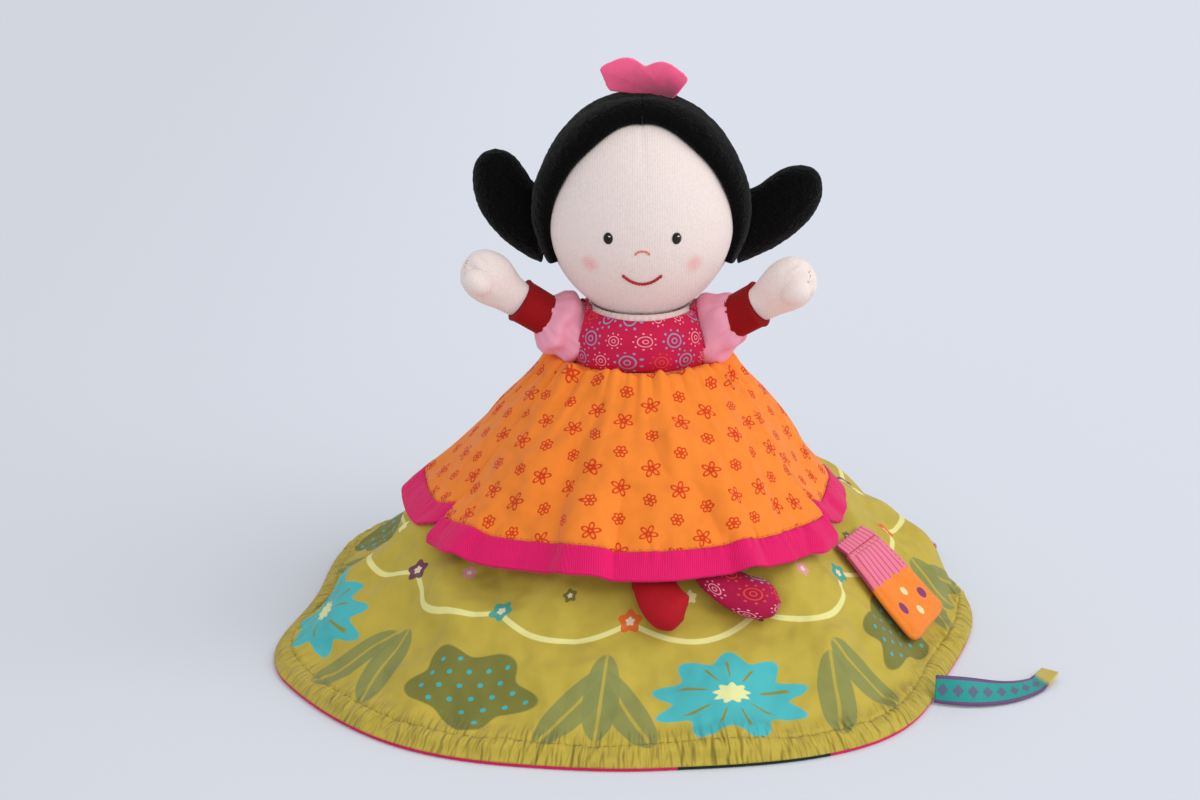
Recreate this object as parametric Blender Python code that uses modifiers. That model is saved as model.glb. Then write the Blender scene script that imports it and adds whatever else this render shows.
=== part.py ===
"""A topsy turvy doll: two stuffed cloth dolls joined at the waist, with skirts that hide one of them.

Metres, +Z up, origin on the floor under the waist. The doll faces -Y, so its pictured left is -X.
Run it with: blender --background --python part.py
"""

import math
from types import SimpleNamespace

import bmesh
import bpy
from mathutils import Matrix, Vector

COLLECTION_NAME = "topsy_turvy_doll"
CUTTER_COLLECTION_NAME = "cutters"

# Clearances
FIT_GAP = 0.0003
HAIR_GAP = 0.0009
REST_FLAT = 0.0005
NECK_CLEARANCE = 0.003
NOD_CLEARANCE = 0.012
SHOULDER_CLEARANCE = 0.0006

# Heads: the chin stands above the waist of its own doll
HEAD_WIDTH = 0.090
HEAD_DEPTH = 0.082
HEAD_HEIGHT = 0.103
CHIN_RISE = 0.023
HEAD_RISE = CHIN_RISE + HEAD_HEIGHT / 2
NECK_RADIUS = 0.013

# Waist, where both dolls and all skirts are sewn together, carried by the lower doll's head
WAIST_OVER_HEAD = 0.031
WAIST_Z = HEAD_HEIGHT + WAIST_OVER_HEAD
WAIST_WIDTH = 0.066
WAIST_DEPTH = 0.060
WAIST_SEAM_HEIGHT = 0.0066

# Hair
HAIR_THICKNESS = 0.0055
HAIR_ROLL_THICKNESS = 0.0075
HAIRLINE_TOP_ANGLE = 64.0
HAIRLINE_SIDE_ANGLE = 74.0
ROLL_WIDTH_ANGLE = 17.0
ROLL_END_ANGLE = 116.0
PART_LINE_ANGLE = 0.35
NAPE_DROP = 0.026
LOWER_NAPE_DROP = 0.012

# Hair bunches, one curled up at each side of the upper head
BUNCH_ROOT_INSET = 0.002
BUNCH_ROOT_X = HEAD_WIDTH / 2 - BUNCH_ROOT_INSET
BUNCH_ROOT_Y = 0.0105
BUNCH_ROOT_DROP = 0.0115
BUNCH_ROOT_RISE = HEAD_RISE - BUNCH_ROOT_DROP
BUNCH_KNEE_RISE = 0.008
BUNCH_PIVOT_RISE = 0.022
BUNCH_HEIGHT = 0.027
BUNCH_DEPTH = 0.019
BUNCH_REACHES = {"left": 0.0265, "right": 0.0335}
BUNCH_LIFTS = {"left": 0.0395, "right": 0.0315}

# Felt crown
CROWN_WIDTH = 0.042
CROWN_HEIGHT = 0.0155
CROWN_THICKNESS = 0.003
CROWN_TILT = 7.0
CROWN_STAND = 0.0016

# Bodices
BODICE_WIDTH = 0.072
BODICE_DEPTH = 0.066
BODICE_HEIGHT = 0.0315
LOWER_BODICE_HEIGHT = 0.0290
LOWER_BODICE_WIDTH = 0.062
LOWER_BODICE_DEPTH = 0.056

# Arms: each sleeve is a ball of cloth at the shoulder, and the cuff turns over it
SHOULDER_X = 0.036
SHOULDER_Y = -0.007
SHOULDER_RISE = 0.019
SLEEVE_RADIUS = 0.0155
CUFF_LENGTH = 0.0115
CUFF_RADIUS = 0.0098
HAND_LENGTH = 0.033
HAND_WIDTH = 0.025
HAND_THICKNESS = 0.021
HAND_BOW = 0.003
THUMB_RADIUS = 0.0065
ARM_FORWARD_ANGLES = {"left": 11.0, "right": 24.0}
ARM_ANGLES = {"left": 34.0, "right": 36.0}
LOWER_SHOULDER_X = 0.0285
LOWER_SHOULDER_RISE = 0.020
LOWER_ARM_ANGLE = 47.5
LOWER_SLEEVE_RADIUS = 0.0115
LOWER_HAND_LENGTH = 0.0205
LOWER_HAND_WIDTH = 0.020
LOWER_CUFF_RADIUS = 0.0078
LOWER_FORWARD_ANGLE = 11.0

# Skirts
CLOTH_THICKNESS = 0.0012
BAND_THICKNESS = 0.0016
SKIRT_SPACING = 0.0026
GREEN_TOP_DROP = 0.0005
GREEN_TOP_Z = WAIST_Z - GREEN_TOP_DROP
GREEN_BOTTOM_Z = 0.0036
GREEN_TOP_RADIUS = 0.0325
HEM_RADIUS = 0.1715
HEM_SHIFT_X = -0.009
HEM_EDGE_RADIUS = 0.0013
LINING_BOTTOM_Z = 0.0
LINING_TOP_DROP = 0.0028
LINING_TOP_Z = WAIST_Z - LINING_TOP_DROP
PANEL_START_ANGLE = -78.0
PANEL_END_ANGLE = -50.0
SEAM_GAP_ANGLE = 0.25
OVERSKIRT_TOP_RISE = 0.0028
OVERSKIRT_TOP_Z = WAIST_Z + OVERSKIRT_TOP_RISE
OVERSKIRT_TOP_RADIUS = 0.0330
OVERSKIRT_DROP = 0.0705
OVERSKIRT_BOTTOM_Z = WAIST_Z - OVERSKIRT_DROP
OVERSKIRT_HEM_RADIUS = 0.1115
BAND_DEPTH = 0.010
BAND_TOP_Z = OVERSKIRT_BOTTOM_Z + BAND_DEPTH
FRONT_PANEL_START_ANGLE = -158.0
FRONT_PANEL_END_ANGLE = -22.0
SKIRT_BULGE = 0.017
GREEN_FOLD_DEPTH = 0.0036
OVERSKIRT_FOLD_DEPTH = 0.0028
SEAM_RIDGE_HEIGHT = 0.0035

# Radius shares from waist to hem against height shares from top to bottom
GREEN_PROFILE_SHARES = (
    (0.0, 0.0), (0.064, 0.057), (0.162, 0.134), (0.274, 0.226), (0.398, 0.318), (0.545, 0.445),
    (0.628, 0.537), (0.729, 0.650), (0.827, 0.756), (0.936, 0.890), (1.0, 1.0),
)
OVERSKIRT_PROFILE_SHARES = (
    (0.0, 0.0), (0.045, 0.150), (0.165, 0.300), (0.300, 0.425), (0.505, 0.588), (0.720, 0.740),
    (0.860, 0.865), (1.0, 1.0),
)

# Legs and boots, which lie on the green skirt under the overskirt
LEG_THICKNESS = 0.0095
LEG_WIDTH = 0.020
LEG_TOP_DROP = 0.018
LEG_TOP_Z = WAIST_Z - LEG_TOP_DROP
LEG_BOTTOM_Z = 0.0600
BOOT_THICKNESS = 0.0135
BOOT_WIDTH = 0.023
HIP_ANGLES = {"left": -104.0, "right": -56.0}
ANKLE_ANGLES = {"left": -85.0, "right": -69.0}
BOOT_TURN = {"left": 6.5, "right": 13.0}
BOOT_BOTTOM_Z = {"left": 0.0430, "right": 0.0440}
BOOT_LIFT = 0.0012
LEG_ROOM = 0.0195

# Swelling of the stuffed pieces: (share of the length, share of the half width)
BODICE_SHARES = ((0.0, 0.94), (0.18, 1.0), (0.62, 1.0), (0.86, 0.95), (1.0, 0.84))
CUFF_SHARES = ((0.0, 0.94), (0.15, 1.0), (0.85, 1.0), (1.0, 0.92))
HAND_SHARES = ((0.0, 0.68), (0.20, 0.78), (0.56, 1.0), (0.82, 0.84), (0.95, 0.48), (1.0, 0.0))
BUNCH_SHARES = ((0.0, 0.92), (0.35, 1.0), (0.70, 0.90), (0.88, 0.66), (0.97, 0.34), (1.0, 0.0))
LEG_SHARES = ((0.0, 0.0), (0.06, 0.55), (0.20, 0.92), (0.60, 1.0), (1.0, 0.90))
BOOT_WIDTH_SHARES = ((0.0, 0.78), (0.30, 0.88), (0.68, 1.0), (0.90, 0.70), (1.0, 0.0))
BOOT_THICKNESS_SHARES = ((0.0, 0.60), (0.45, 0.72), (0.75, 1.0), (0.92, 0.68), (1.0, 0.0))

# Padded flap and ribbons
FLAP_THICKNESS = 0.0042
FLAP_LIFT = 0.0019
FLAP_TOP_Z = 0.052
FLAP_BOTTOM_Z = 0.0125
FLAP_START_ANGLE = -24.0
FLAP_END_ANGLE = -10.5
FLAP_SPREAD_ANGLE = 3.5
FLAP_STRIP_WIDTH = 0.004
FLAP_STRIP_THICKNESS = 0.0015
FLAP_PIVOT_LIFT = 0.0024
RIBBON_WIDTH = 0.013
RIBBON_THICKNESS = 0.0009
TAG_LENGTH = 0.066
TAG_ANGLE = -36.0
TAG_TURN = 63.0
TAG_TWIST = 70.0
LOOP_ANGLE = 27.5
LOOP_LENGTH = 0.013
LOOP_OPENING = 0.0045
RIBBON_LEAN = 0.0012

COLOURS = {
    "velour": (0.93, 0.80, 0.70), "black_plush": (0.008, 0.008, 0.010), "brown_plush": (0.10, 0.045, 0.025),
    "pink_felt": (0.80, 0.12, 0.24), "rose_print": (0.42, 0.02, 0.09), "plum": (0.12, 0.02, 0.10),
    "pink_cotton": (0.87, 0.38, 0.50), "teal_cotton": (0.02, 0.35, 0.38), "dark_red": (0.30, 0.008, 0.012),
    "green_cotton": (0.43, 0.36, 0.035), "magenta": (0.66, 0.010, 0.20), "black_cotton": (0.01, 0.01, 0.012),
    "orange_cotton": (0.96, 0.33, 0.025), "red_cotton": (0.42, 0.008, 0.016), "maroon_print": (0.30, 0.015, 0.07),
    "orange_pad": (0.90, 0.28, 0.05), "teal_ribbon": (0.0, 0.28, 0.30),
}


def clear_scene() -> None:
    """Remove every object that the scene holds."""
    for existing in list(bpy.data.objects):
        bpy.data.objects.remove(existing, do_unlink=True)


def collection(name: str) -> bpy.types.Collection:
    """Return a new collection linked to the scene."""
    made = bpy.data.collections.new(name)
    bpy.context.scene.collection.children.link(made)
    return made


def material(slot: str) -> bpy.types.Material:
    """Return the cloth material of one colour slot, made on first use."""
    found = bpy.data.materials.get(slot)
    if found:
        return found
    made = bpy.data.materials.new(slot)
    made.use_nodes = True
    shader = made.node_tree.nodes["Principled BSDF"]
    shader.inputs["Base Color"].default_value = (*COLOURS[slot], 1.0)
    shader.inputs["Roughness"].default_value = 0.9
    shader.inputs["Metallic"].default_value = 0.0
    return made


def add_object(name: str, data, slot: str, smooth: bool = True) -> bpy.types.Object:
    """Link a mesh or curve to the doll's collection under its node name, with a material of its own."""
    made = bpy.data.objects.new(name, data)
    bpy.data.collections[COLLECTION_NAME].objects.link(made)
    own = material(slot).copy()
    own.name = f"{name}_{slot}"
    data.materials.append(own)
    if smooth and made.type == "MESH":
        data.shade_smooth()
    return made


def joint_empty(name: str, place: Vector, parent: bpy.types.Object | None = None) -> bpy.types.Object:
    """Return an empty on a joint's axis, under the empty of the body that carries it."""
    made = bpy.data.objects.new(name, None)
    bpy.data.collections[COLLECTION_NAME].objects.link(made)
    made["joint_place"] = place
    if parent:
        made.parent = parent
        made.location = place - Vector(parent["joint_place"])
    else:
        made.location = place
    return made


def carry(piece: bpy.types.Object, empty: bpy.types.Object) -> bpy.types.Object:
    """Give a piece its joint's point as origin, under that joint's empty, without moving the piece."""
    piece.data.transform(Matrix.Translation(-Vector(empty["joint_place"])))
    piece.parent = empty
    return piece


def mesh_from(bm: bmesh.types.BMesh, name: str) -> bpy.types.Mesh:
    """Turn a bmesh into a mesh and free it."""
    data = bpy.data.meshes.new(name)
    bm.to_mesh(data)
    bm.free()
    return data


def grid(columns: int, rows: int, place) -> bmesh.types.BMesh:
    """Return a unit grid whose points stand where place(across, down) puts them, both from 0 to 1."""
    bm = bmesh.new()
    bmesh.ops.create_grid(bm, x_segments=columns, y_segments=rows, size=0.5)
    for vertex in bm.verts:
        vertex.co = place(vertex.co.x + 0.5, 0.5 - vertex.co.y)
    return bm


def close_up(bm: bmesh.types.BMesh) -> None:
    """Weld a rolled grid's seam and poles, fill its open ends and turn its faces out."""
    bmesh.ops.remove_doubles(bm, verts=bm.verts, dist=FIT_GAP * 0.05)
    bmesh.ops.dissolve_degenerate(bm, edges=bm.edges, dist=FIT_GAP * 0.05)
    open_edges = [edge for edge in bm.edges if edge.is_boundary]
    if open_edges:
        bmesh.ops.holes_fill(bm, edges=open_edges)
    bmesh.ops.recalc_face_normals(bm, faces=bm.faces)


def solid(name: str, columns: int, rows: int, place, slot: str) -> bpy.types.Object:
    """Return a closed piece from a grid rolled round on itself by place(around, along)."""
    bm = grid(columns, rows, place)
    close_up(bm)
    return add_object(name, mesh_from(bm, name), slot)


def sheet(name: str, columns: int, rows: int, place, thickness: float, slot: str) -> bpy.types.Object:
    """Return a cloth piece: a grid placed by place(across, down), welded where it closes, then thickened."""
    bm = grid(columns, rows, place)
    bmesh.ops.remove_doubles(bm, verts=bm.verts, dist=FIT_GAP * 0.05)
    made = add_object(name, mesh_from(bm, name), slot)
    thick = made.modifiers.new("thickness", "SOLIDIFY")
    thick.thickness = thickness
    thick.offset = 0.0
    return made


def cutter(name: str, data: bpy.types.Mesh) -> bpy.types.Object:
    """Return a hidden wire object that other pieces are cut with."""
    made = bpy.data.objects.new(name, data)
    bpy.data.collections[CUTTER_COLLECTION_NAME].objects.link(made)
    made.hide_render = True
    made.display_type = "WIRE"
    return made


def ball_cutter(name: str, centre: Vector, radii: Vector, segments: int = 24) -> bpy.types.Object:
    """Return an ellipsoid cutter."""
    bm = bmesh.new()
    bmesh.ops.create_uvsphere(bm, u_segments=segments, v_segments=segments * 5 // 8, radius=1.0)
    bmesh.ops.scale(bm, vec=radii, verts=bm.verts)
    bmesh.ops.translate(bm, vec=centre, verts=bm.verts)
    return cutter(name, mesh_from(bm, name))


def box_cutter(name: str, low: Vector, high: Vector) -> bpy.types.Object:
    """Return a box cutter between two corners."""
    bm = bmesh.new()
    bmesh.ops.create_cube(bm, size=1.0)
    bmesh.ops.scale(bm, vec=high - low, verts=bm.verts)
    bmesh.ops.translate(bm, vec=(low + high) / 2, verts=bm.verts)
    return cutter(name, mesh_from(bm, name))


def cut(piece: bpy.types.Object, tool: bpy.types.Object, operation: str = "DIFFERENCE") -> None:
    """Cut a piece with a cutter, or join the cutter's shape to it."""
    made = piece.modifiers.new(tool.name, "BOOLEAN")
    made.operation = operation
    made.object = tool
    made.solver = "EXACT"


def smooth_between(shares, position: float) -> float:
    """Return a smooth curve's value at position, through (position, value) shares, without overshoot."""
    last = len(shares) - 1
    slopes = []
    for i in range(last):
        slopes.append((shares[i + 1][1] - shares[i][1]) / (shares[i + 1][0] - shares[i][0]))
    tangents = [slopes[0]]
    for before, after in zip(slopes, slopes[1:]):
        tangents.append(0.0 if before * after <= 0 else 2 * before * after / (before + after))
    tangents.append(slopes[-1])
    position = min(max(position, shares[0][0]), shares[-1][0])
    i = max(k for k in range(last) if shares[k][0] <= position)
    width = shares[i + 1][0] - shares[i][0]
    t = (position - shares[i][0]) / width
    low, high = shares[i][1], shares[i + 1][1]
    return (
        low * (1 + 2 * t) * (1 - t) ** 2
        + high * t * t * (3 - 2 * t)
        + tangents[i] * width * t * (1 - t) ** 2
        - tangents[i + 1] * width * t * t * (1 - t)
    )


def bump(value: float, centre: float, half_width: float) -> float:
    """Return a smooth hill of height 1 at centre, which ends half_width away on both sides."""
    off = abs(value - centre) / half_width
    return 0.0 if off >= 1 else math.cos(off * math.pi / 2) ** 2


def angle_off(angle: float, centre: float) -> float:
    """Return how far angle lies from centre, in degrees, the short way round."""
    return (angle - centre + 180.0) % 360.0 - 180.0


def green_radius(angle: float, z: float) -> float:
    """Return the green skirt's radius about its leaning axis, at an azimuth in degrees and a height."""
    drop = (GREEN_TOP_Z - z) / (GREEN_TOP_Z - GREEN_BOTTOM_Z)
    drop = min(max(drop, 0.0), 1.0)
    radius = GREEN_TOP_RADIUS + (HEM_RADIUS - GREEN_TOP_RADIUS) * smooth_between(GREEN_PROFILE_SHARES, drop)
    oval = (WAIST_WIDTH - WAIST_DEPTH) / (WAIST_WIDTH + WAIST_DEPTH) * (1 - drop) ** 2
    radius *= 1 + oval * math.cos(math.radians(2 * angle))
    side = bump(angle_off(angle, 30.0), 0.0, 75.0)
    radius += SKIRT_BULGE * side * bump(drop, 0.72, 0.34)
    turn = math.radians(angle)
    wave = math.sin(6 * turn + 0.6) + 0.4 * math.sin(9 * turn + 2.0)
    radius += GREEN_FOLD_DEPTH * wave * bump(drop, 0.80, 0.42) * (1 - 0.6 * bump(angle_off(angle, -80.0), 0.0, 35.0))
    ridge = bump(angle_off(angle, -139.0), 0.0, 9.0) * bump(drop, 0.74, 0.30)
    return radius + SEAM_RIDGE_HEIGHT * ridge


def shift_x(z: float) -> float:
    """Return how far the skirts' axis leans to the side at a height: none at the waist, all at the hem."""
    return HEM_SHIFT_X * min(max((GREEN_TOP_Z - z) / GREEN_TOP_Z, 0.0), 1.0)


def round_point(angle: float, radius: float, z: float) -> Vector:
    """Return the point at an azimuth, a radius and a height about the skirts' leaning axis."""
    turn = math.radians(angle)
    return Vector((shift_x(z) + radius * math.cos(turn), radius * math.sin(turn), z))


def on_green(angle: float, z: float, lift: float = 0.0) -> Vector:
    """Return a point on the green skirt's middle surface, lifted along its outward normal."""
    step_angle, step_z = 0.5, WAIST_SEAM_HEIGHT * 0.1
    middle = round_point(angle, green_radius(angle, z), z)
    if not lift:
        return middle
    across = round_point(angle + step_angle, green_radius(angle + step_angle, z), z) - middle
    upward = round_point(angle, green_radius(angle, z + step_z), z + step_z) - middle
    return middle + across.cross(upward).normalized() * lift


def overskirt_radius(angle: float, z: float) -> float:
    """Return the overskirt's radius, which never comes nearer to the green skirt than their spacing."""
    drop = (OVERSKIRT_TOP_Z - z) / (OVERSKIRT_TOP_Z - OVERSKIRT_BOTTOM_Z)
    drop = min(max(drop, 0.0), 1.0)
    share = smooth_between(OVERSKIRT_PROFILE_SHARES, drop)
    radius = OVERSKIRT_TOP_RADIUS + (OVERSKIRT_HEM_RADIUS - OVERSKIRT_TOP_RADIUS) * share
    oval = (WAIST_WIDTH - WAIST_DEPTH) / (WAIST_WIDTH + WAIST_DEPTH) * (1 - drop) ** 2
    radius *= 1 + oval * math.cos(math.radians(2 * angle))
    turn = math.radians(angle)
    wave = math.sin(8 * turn + 1.1) + 0.4 * math.sin(13 * turn)
    radius += OVERSKIRT_FOLD_DEPTH * wave * drop ** 0.7 * 0.6
    legs = max(bump(angle_off(angle, -77.0), 0.0, 58.0) * 1.9, 0.0)
    room = SKIRT_SPACING * 1.5 + (LEG_ROOM - SKIRT_SPACING * 1.5) * min(legs, 1.0) * min(drop * 3, 1.0)
    return max(radius, green_radius(angle, z) + room * min(drop * 12, 1.0))


def turned_angle(across: float, start: float, sweep: float) -> float:
    """Return the azimuth at a share of the way across a skirt piece."""
    return start + sweep * across


def build_green_skirt() -> bpy.types.Object:
    """The printed outer skirt of the lower layer, from the waist seam to the hem."""

    def place(across: float, down: float) -> Vector:
        z = GREEN_TOP_Z + (GREEN_BOTTOM_Z - FIT_GAP - GREEN_TOP_Z) * down
        return on_green(turned_angle(across, 0.0, 360.0), z)

    return sheet("green_skirt", 54, 8, place, CLOTH_THICKNESS, "green_cotton")


def lining_point(angle: float, down: float) -> Vector:
    """Return a point on the lining, a set spacing inside the green skirt."""
    z = LINING_TOP_Z + (LINING_BOTTOM_Z - LINING_TOP_Z) * down
    above = z + (GREEN_BOTTOM_Z - LINING_BOTTOM_Z) * down
    inside = SKIRT_SPACING * (1 + 0.25 * down)
    return round_point(angle, green_radius(angle, above) - inside, z + CLOTH_THICKNESS * 0.45 * down)


def build_lining() -> list[bpy.types.Object]:
    """The inner skirt in two pieces: the bright lining, and the dark panel set into its front."""
    pieces = []
    dark_sweep = PANEL_END_ANGLE - PANEL_START_ANGLE
    for name, start, sweep, columns, slot in (
        ("lining_skirt", PANEL_END_ANGLE, 360.0 - dark_sweep, 42, "magenta"),
        ("lining_dark_panel", PANEL_START_ANGLE, dark_sweep, 5, "black_cotton"),
    ):

        def place(across: float, down: float, start=start, sweep=sweep) -> Vector:
            angle = turned_angle(across, start + SEAM_GAP_ANGLE, sweep - 2 * SEAM_GAP_ANGLE)
            return lining_point(angle, down)

        pieces.append(sheet(name, columns, 5, place, CLOTH_THICKNESS, slot))
    return pieces


def build_hem_edge() -> bpy.types.Object:
    """The piped edge that closes the hem, a closed cord of cloth under the green skirt's edge."""
    curve = bpy.data.curves.new("hem_edge", "CURVE")
    curve.dimensions = "3D"
    curve.bevel_depth = HEM_EDGE_RADIUS
    curve.bevel_resolution = 1
    spline = curve.splines.new("POLY")
    count = 60
    spline.points.add(count - 1)
    for i, point in enumerate(spline.points):
        angle = 360.0 * i / count
        place = round_point(angle, green_radius(angle, GREEN_BOTTOM_Z) + HEM_EDGE_RADIUS * 0.5, HEM_EDGE_RADIUS)
        point.co = (*place, 1.0)
    spline.use_cyclic_u = True
    return add_object("hem_edge", curve, "magenta")


def build_overskirt() -> list[bpy.types.Object]:
    """The gathered overskirt: a front and a back panel, each with its hem band."""
    pieces = []
    front_sweep = FRONT_PANEL_END_ANGLE - FRONT_PANEL_START_ANGLE
    for side, start, sweep, columns in (
        ("front", FRONT_PANEL_START_ANGLE, front_sweep, 24),
        ("back", FRONT_PANEL_END_ANGLE, 360.0 - front_sweep, 30),
    ):
        for kind, top, bottom, rows, thickness, slot in (
            ("overskirt", OVERSKIRT_TOP_Z, BAND_TOP_Z + FIT_GAP, 7, CLOTH_THICKNESS, "orange_cotton"),
            ("overskirt_band", BAND_TOP_Z, OVERSKIRT_BOTTOM_Z, 1, BAND_THICKNESS, "magenta"),
        ):

            def place(across: float, down: float, start=start, sweep=sweep, top=top, bottom=bottom) -> Vector:
                angle = turned_angle(across, start + SEAM_GAP_ANGLE, sweep - 2 * SEAM_GAP_ANGLE)
                z = top + (bottom - top) * down
                return round_point(angle, overskirt_radius(angle, z), z)

            pieces.append(sheet(f"{kind}_{side}", columns, rows, place, thickness, slot))
    return pieces


def build_waist_seam() -> bpy.types.Object:
    """The oval of sewn cloth at the waist that joins the two bodices and holds the skirts."""
    bm = bmesh.new()
    bmesh.ops.create_cone(
        bm, cap_ends=True, segments=32, radius1=WAIST_WIDTH / 2, radius2=WAIST_WIDTH / 2, depth=WAIST_SEAM_HEIGHT
    )
    bmesh.ops.scale(bm, vec=(1.0, WAIST_DEPTH / WAIST_WIDTH, 1.0), verts=bm.verts)
    bmesh.ops.translate(bm, vec=(0.0, 0.0, WAIST_Z), verts=bm.verts)
    made = add_object("waist_seam", mesh_from(bm, "waist_seam"), "rose_print")
    made.data.set_sharp_from_angle(angle=math.radians(40))
    return made


def head_point(doll: SimpleNamespace, polar: float, around: float, lift: float) -> Vector:
    """Return a point over a doll's head: polar degrees from straight ahead, around from the crown of the head.

    The point is lifted along the head's normal. For the lower doll the crown of the head points down.
    """
    polar, around = math.radians(polar), math.radians(around)
    unit = Vector((math.sin(polar) * math.sin(around), -math.cos(polar), math.sin(polar) * math.cos(around)))
    semi = Vector((HEAD_WIDTH, HEAD_DEPTH, HEAD_HEIGHT)) / 2
    skin = Vector((unit.x * semi.x, unit.y * semi.y, unit.z * semi.z))
    normal = Vector((unit.x / semi.x, unit.y / semi.y, unit.z / semi.z)).normalized()
    point = skin + normal * lift
    return Vector((point.x, point.y, doll.head_z + doll.up * point.z))


def hairline(around: float) -> float:
    """Return the hairline's polar angle at an angle around from the crown of the head."""
    share = min(abs(around) / 100.0, 1.0)
    return HAIRLINE_TOP_ANGLE + (HAIRLINE_SIDE_ANGLE - HAIRLINE_TOP_ANGLE) * share


def build_head(doll: SimpleNamespace) -> bpy.types.Object:
    """A stuffed head, slightly taller than wide, with its flat rest cut away where it lies deep in the hair."""
    bm = bmesh.new()
    bmesh.ops.create_uvsphere(bm, u_segments=24, v_segments=15, radius=0.5)
    bmesh.ops.scale(bm, vec=(HEAD_WIDTH, HEAD_DEPTH, HEAD_HEIGHT), verts=bm.verts)
    bmesh.ops.translate(bm, vec=(0.0, 0.0, doll.head_z), verts=bm.verts)
    return add_object(f"{doll.prefix}head", mesh_from(bm, "head"), "velour")


def build_hair_cap(doll: SimpleNamespace) -> bpy.types.Object:
    """The plush cap behind the front roll, a bowl over the crown and back of the head, cut off at the nape."""
    steps = 8

    def place(around: float, along: float) -> Vector:
        turn = 360.0 * around
        front = hairline(angle_off(turn, 0.0)) + ROLL_WIDTH_ANGLE
        section = along * (2 * steps + 1)
        if section <= steps:
            return head_point(doll, 180.0 + (front - 180.0) * section / steps, turn, HAIR_GAP)
        back = (section - steps - 1) / steps
        return head_point(doll, front + (180.0 - front) * back, turn, HAIR_GAP + HAIR_THICKNESS)

    made = solid(f"{doll.prefix}hair_cap", 26, 2 * steps + 1, place, doll.hair)
    reach = HEAD_WIDTH
    edge = doll.head_z - doll.up * doll.nape_drop
    far = edge - doll.up * reach
    low = Vector((-reach, -reach, min(edge, far)))
    high = Vector((reach, reach, max(edge, far)))
    cut(made, box_cutter(f"{doll.prefix}nape_cutter", low, high))
    return made


def build_hair_roll(doll: SimpleNamespace, side: str, sign: float) -> bpy.types.Object:
    """One half of the stuffed front roll, from the parting down to the temple, tapering to its end."""

    def place(around: float, along: float) -> Vector:
        turn = PART_LINE_ANGLE + (ROLL_END_ANGLE - PART_LINE_ANGLE) * along
        section = 2 * math.pi * around
        width = ROLL_WIDTH_ANGLE - 2 * PART_LINE_ANGLE
        fullness = 0.45 + 0.55 * math.sin(math.pi * min(1.35 * (1 - along) + 0.02, 0.5))
        polar = hairline(turn) + PART_LINE_ANGLE + width * (0.5 - 0.5 * math.cos(section))
        crown = max(math.sin(section), 0.0) ** 0.8
        lift = HAIR_GAP + HAIR_ROLL_THICKNESS * fullness * crown
        return head_point(doll, polar, sign * turn, lift)

    return solid(f"{doll.prefix}hair_front_{side}", 9, 11, place, doll.hair)


def eased(share: float) -> float:
    """Return a share spread so that points crowd towards both ends."""
    return 0.5 - 0.5 * math.cos(math.pi * share)


def swept(path, side_half: float, up_half: float, side_shares, up_shares, side_axis: Vector):
    """Return a placing function for a stuffed tube: its path and its half sizes, swelling as shares say."""
    step = 0.01

    def place(around: float, along: float) -> Vector:
        t = eased(along)
        ahead = (path(min(t + step, 1.0)) - path(max(t - step, 0.0))).normalized()
        side = (side_axis - ahead * side_axis.dot(ahead)).normalized()
        up = ahead.cross(side)
        turn = 2 * math.pi * around
        wide = math.cos(turn) * side_half * smooth_between(side_shares, t)
        high = math.sin(turn) * up_half * smooth_between(up_shares, t)
        return path(t) + side * wide + up * high

    return place


def build_bunch(doll: SimpleNamespace, side: str, sign: float) -> bpy.types.Object:
    """A stuffed bunch of hair that leaves the side of the head and curls up to a round tip."""
    root = Vector((sign * BUNCH_ROOT_X, BUNCH_ROOT_Y, WAIST_Z + BUNCH_ROOT_RISE))
    tip = root + Vector((sign * BUNCH_REACHES[side], 0.0, BUNCH_LIFTS[side]))
    knee = Vector((tip.x, root.y, root.z + BUNCH_KNEE_RISE))

    def path(t: float) -> Vector:
        return root * (1 - t) ** 2 + knee * 2 * t * (1 - t) + tip * t * t

    level = Vector((0.0, 1.0, 0.0))
    tube = swept(path, BUNCH_DEPTH / 2, BUNCH_HEIGHT / 2, BUNCH_SHARES, BUNCH_SHARES, level)
    made = solid(f"hair_bunch_{side}", 12, 11, tube, doll.hair)
    offset = HAIR_GAP + FIT_GAP + HAIR_THICKNESS
    radii = Vector((HEAD_WIDTH / 2, HEAD_DEPTH / 2, HEAD_HEIGHT / 2)) + Vector((offset,) * 3)
    cut(made, ball_cutter(f"bunch_{side}_cutter", Vector((0.0, 0.0, doll.head_z)), radii, 48))
    return made


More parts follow.
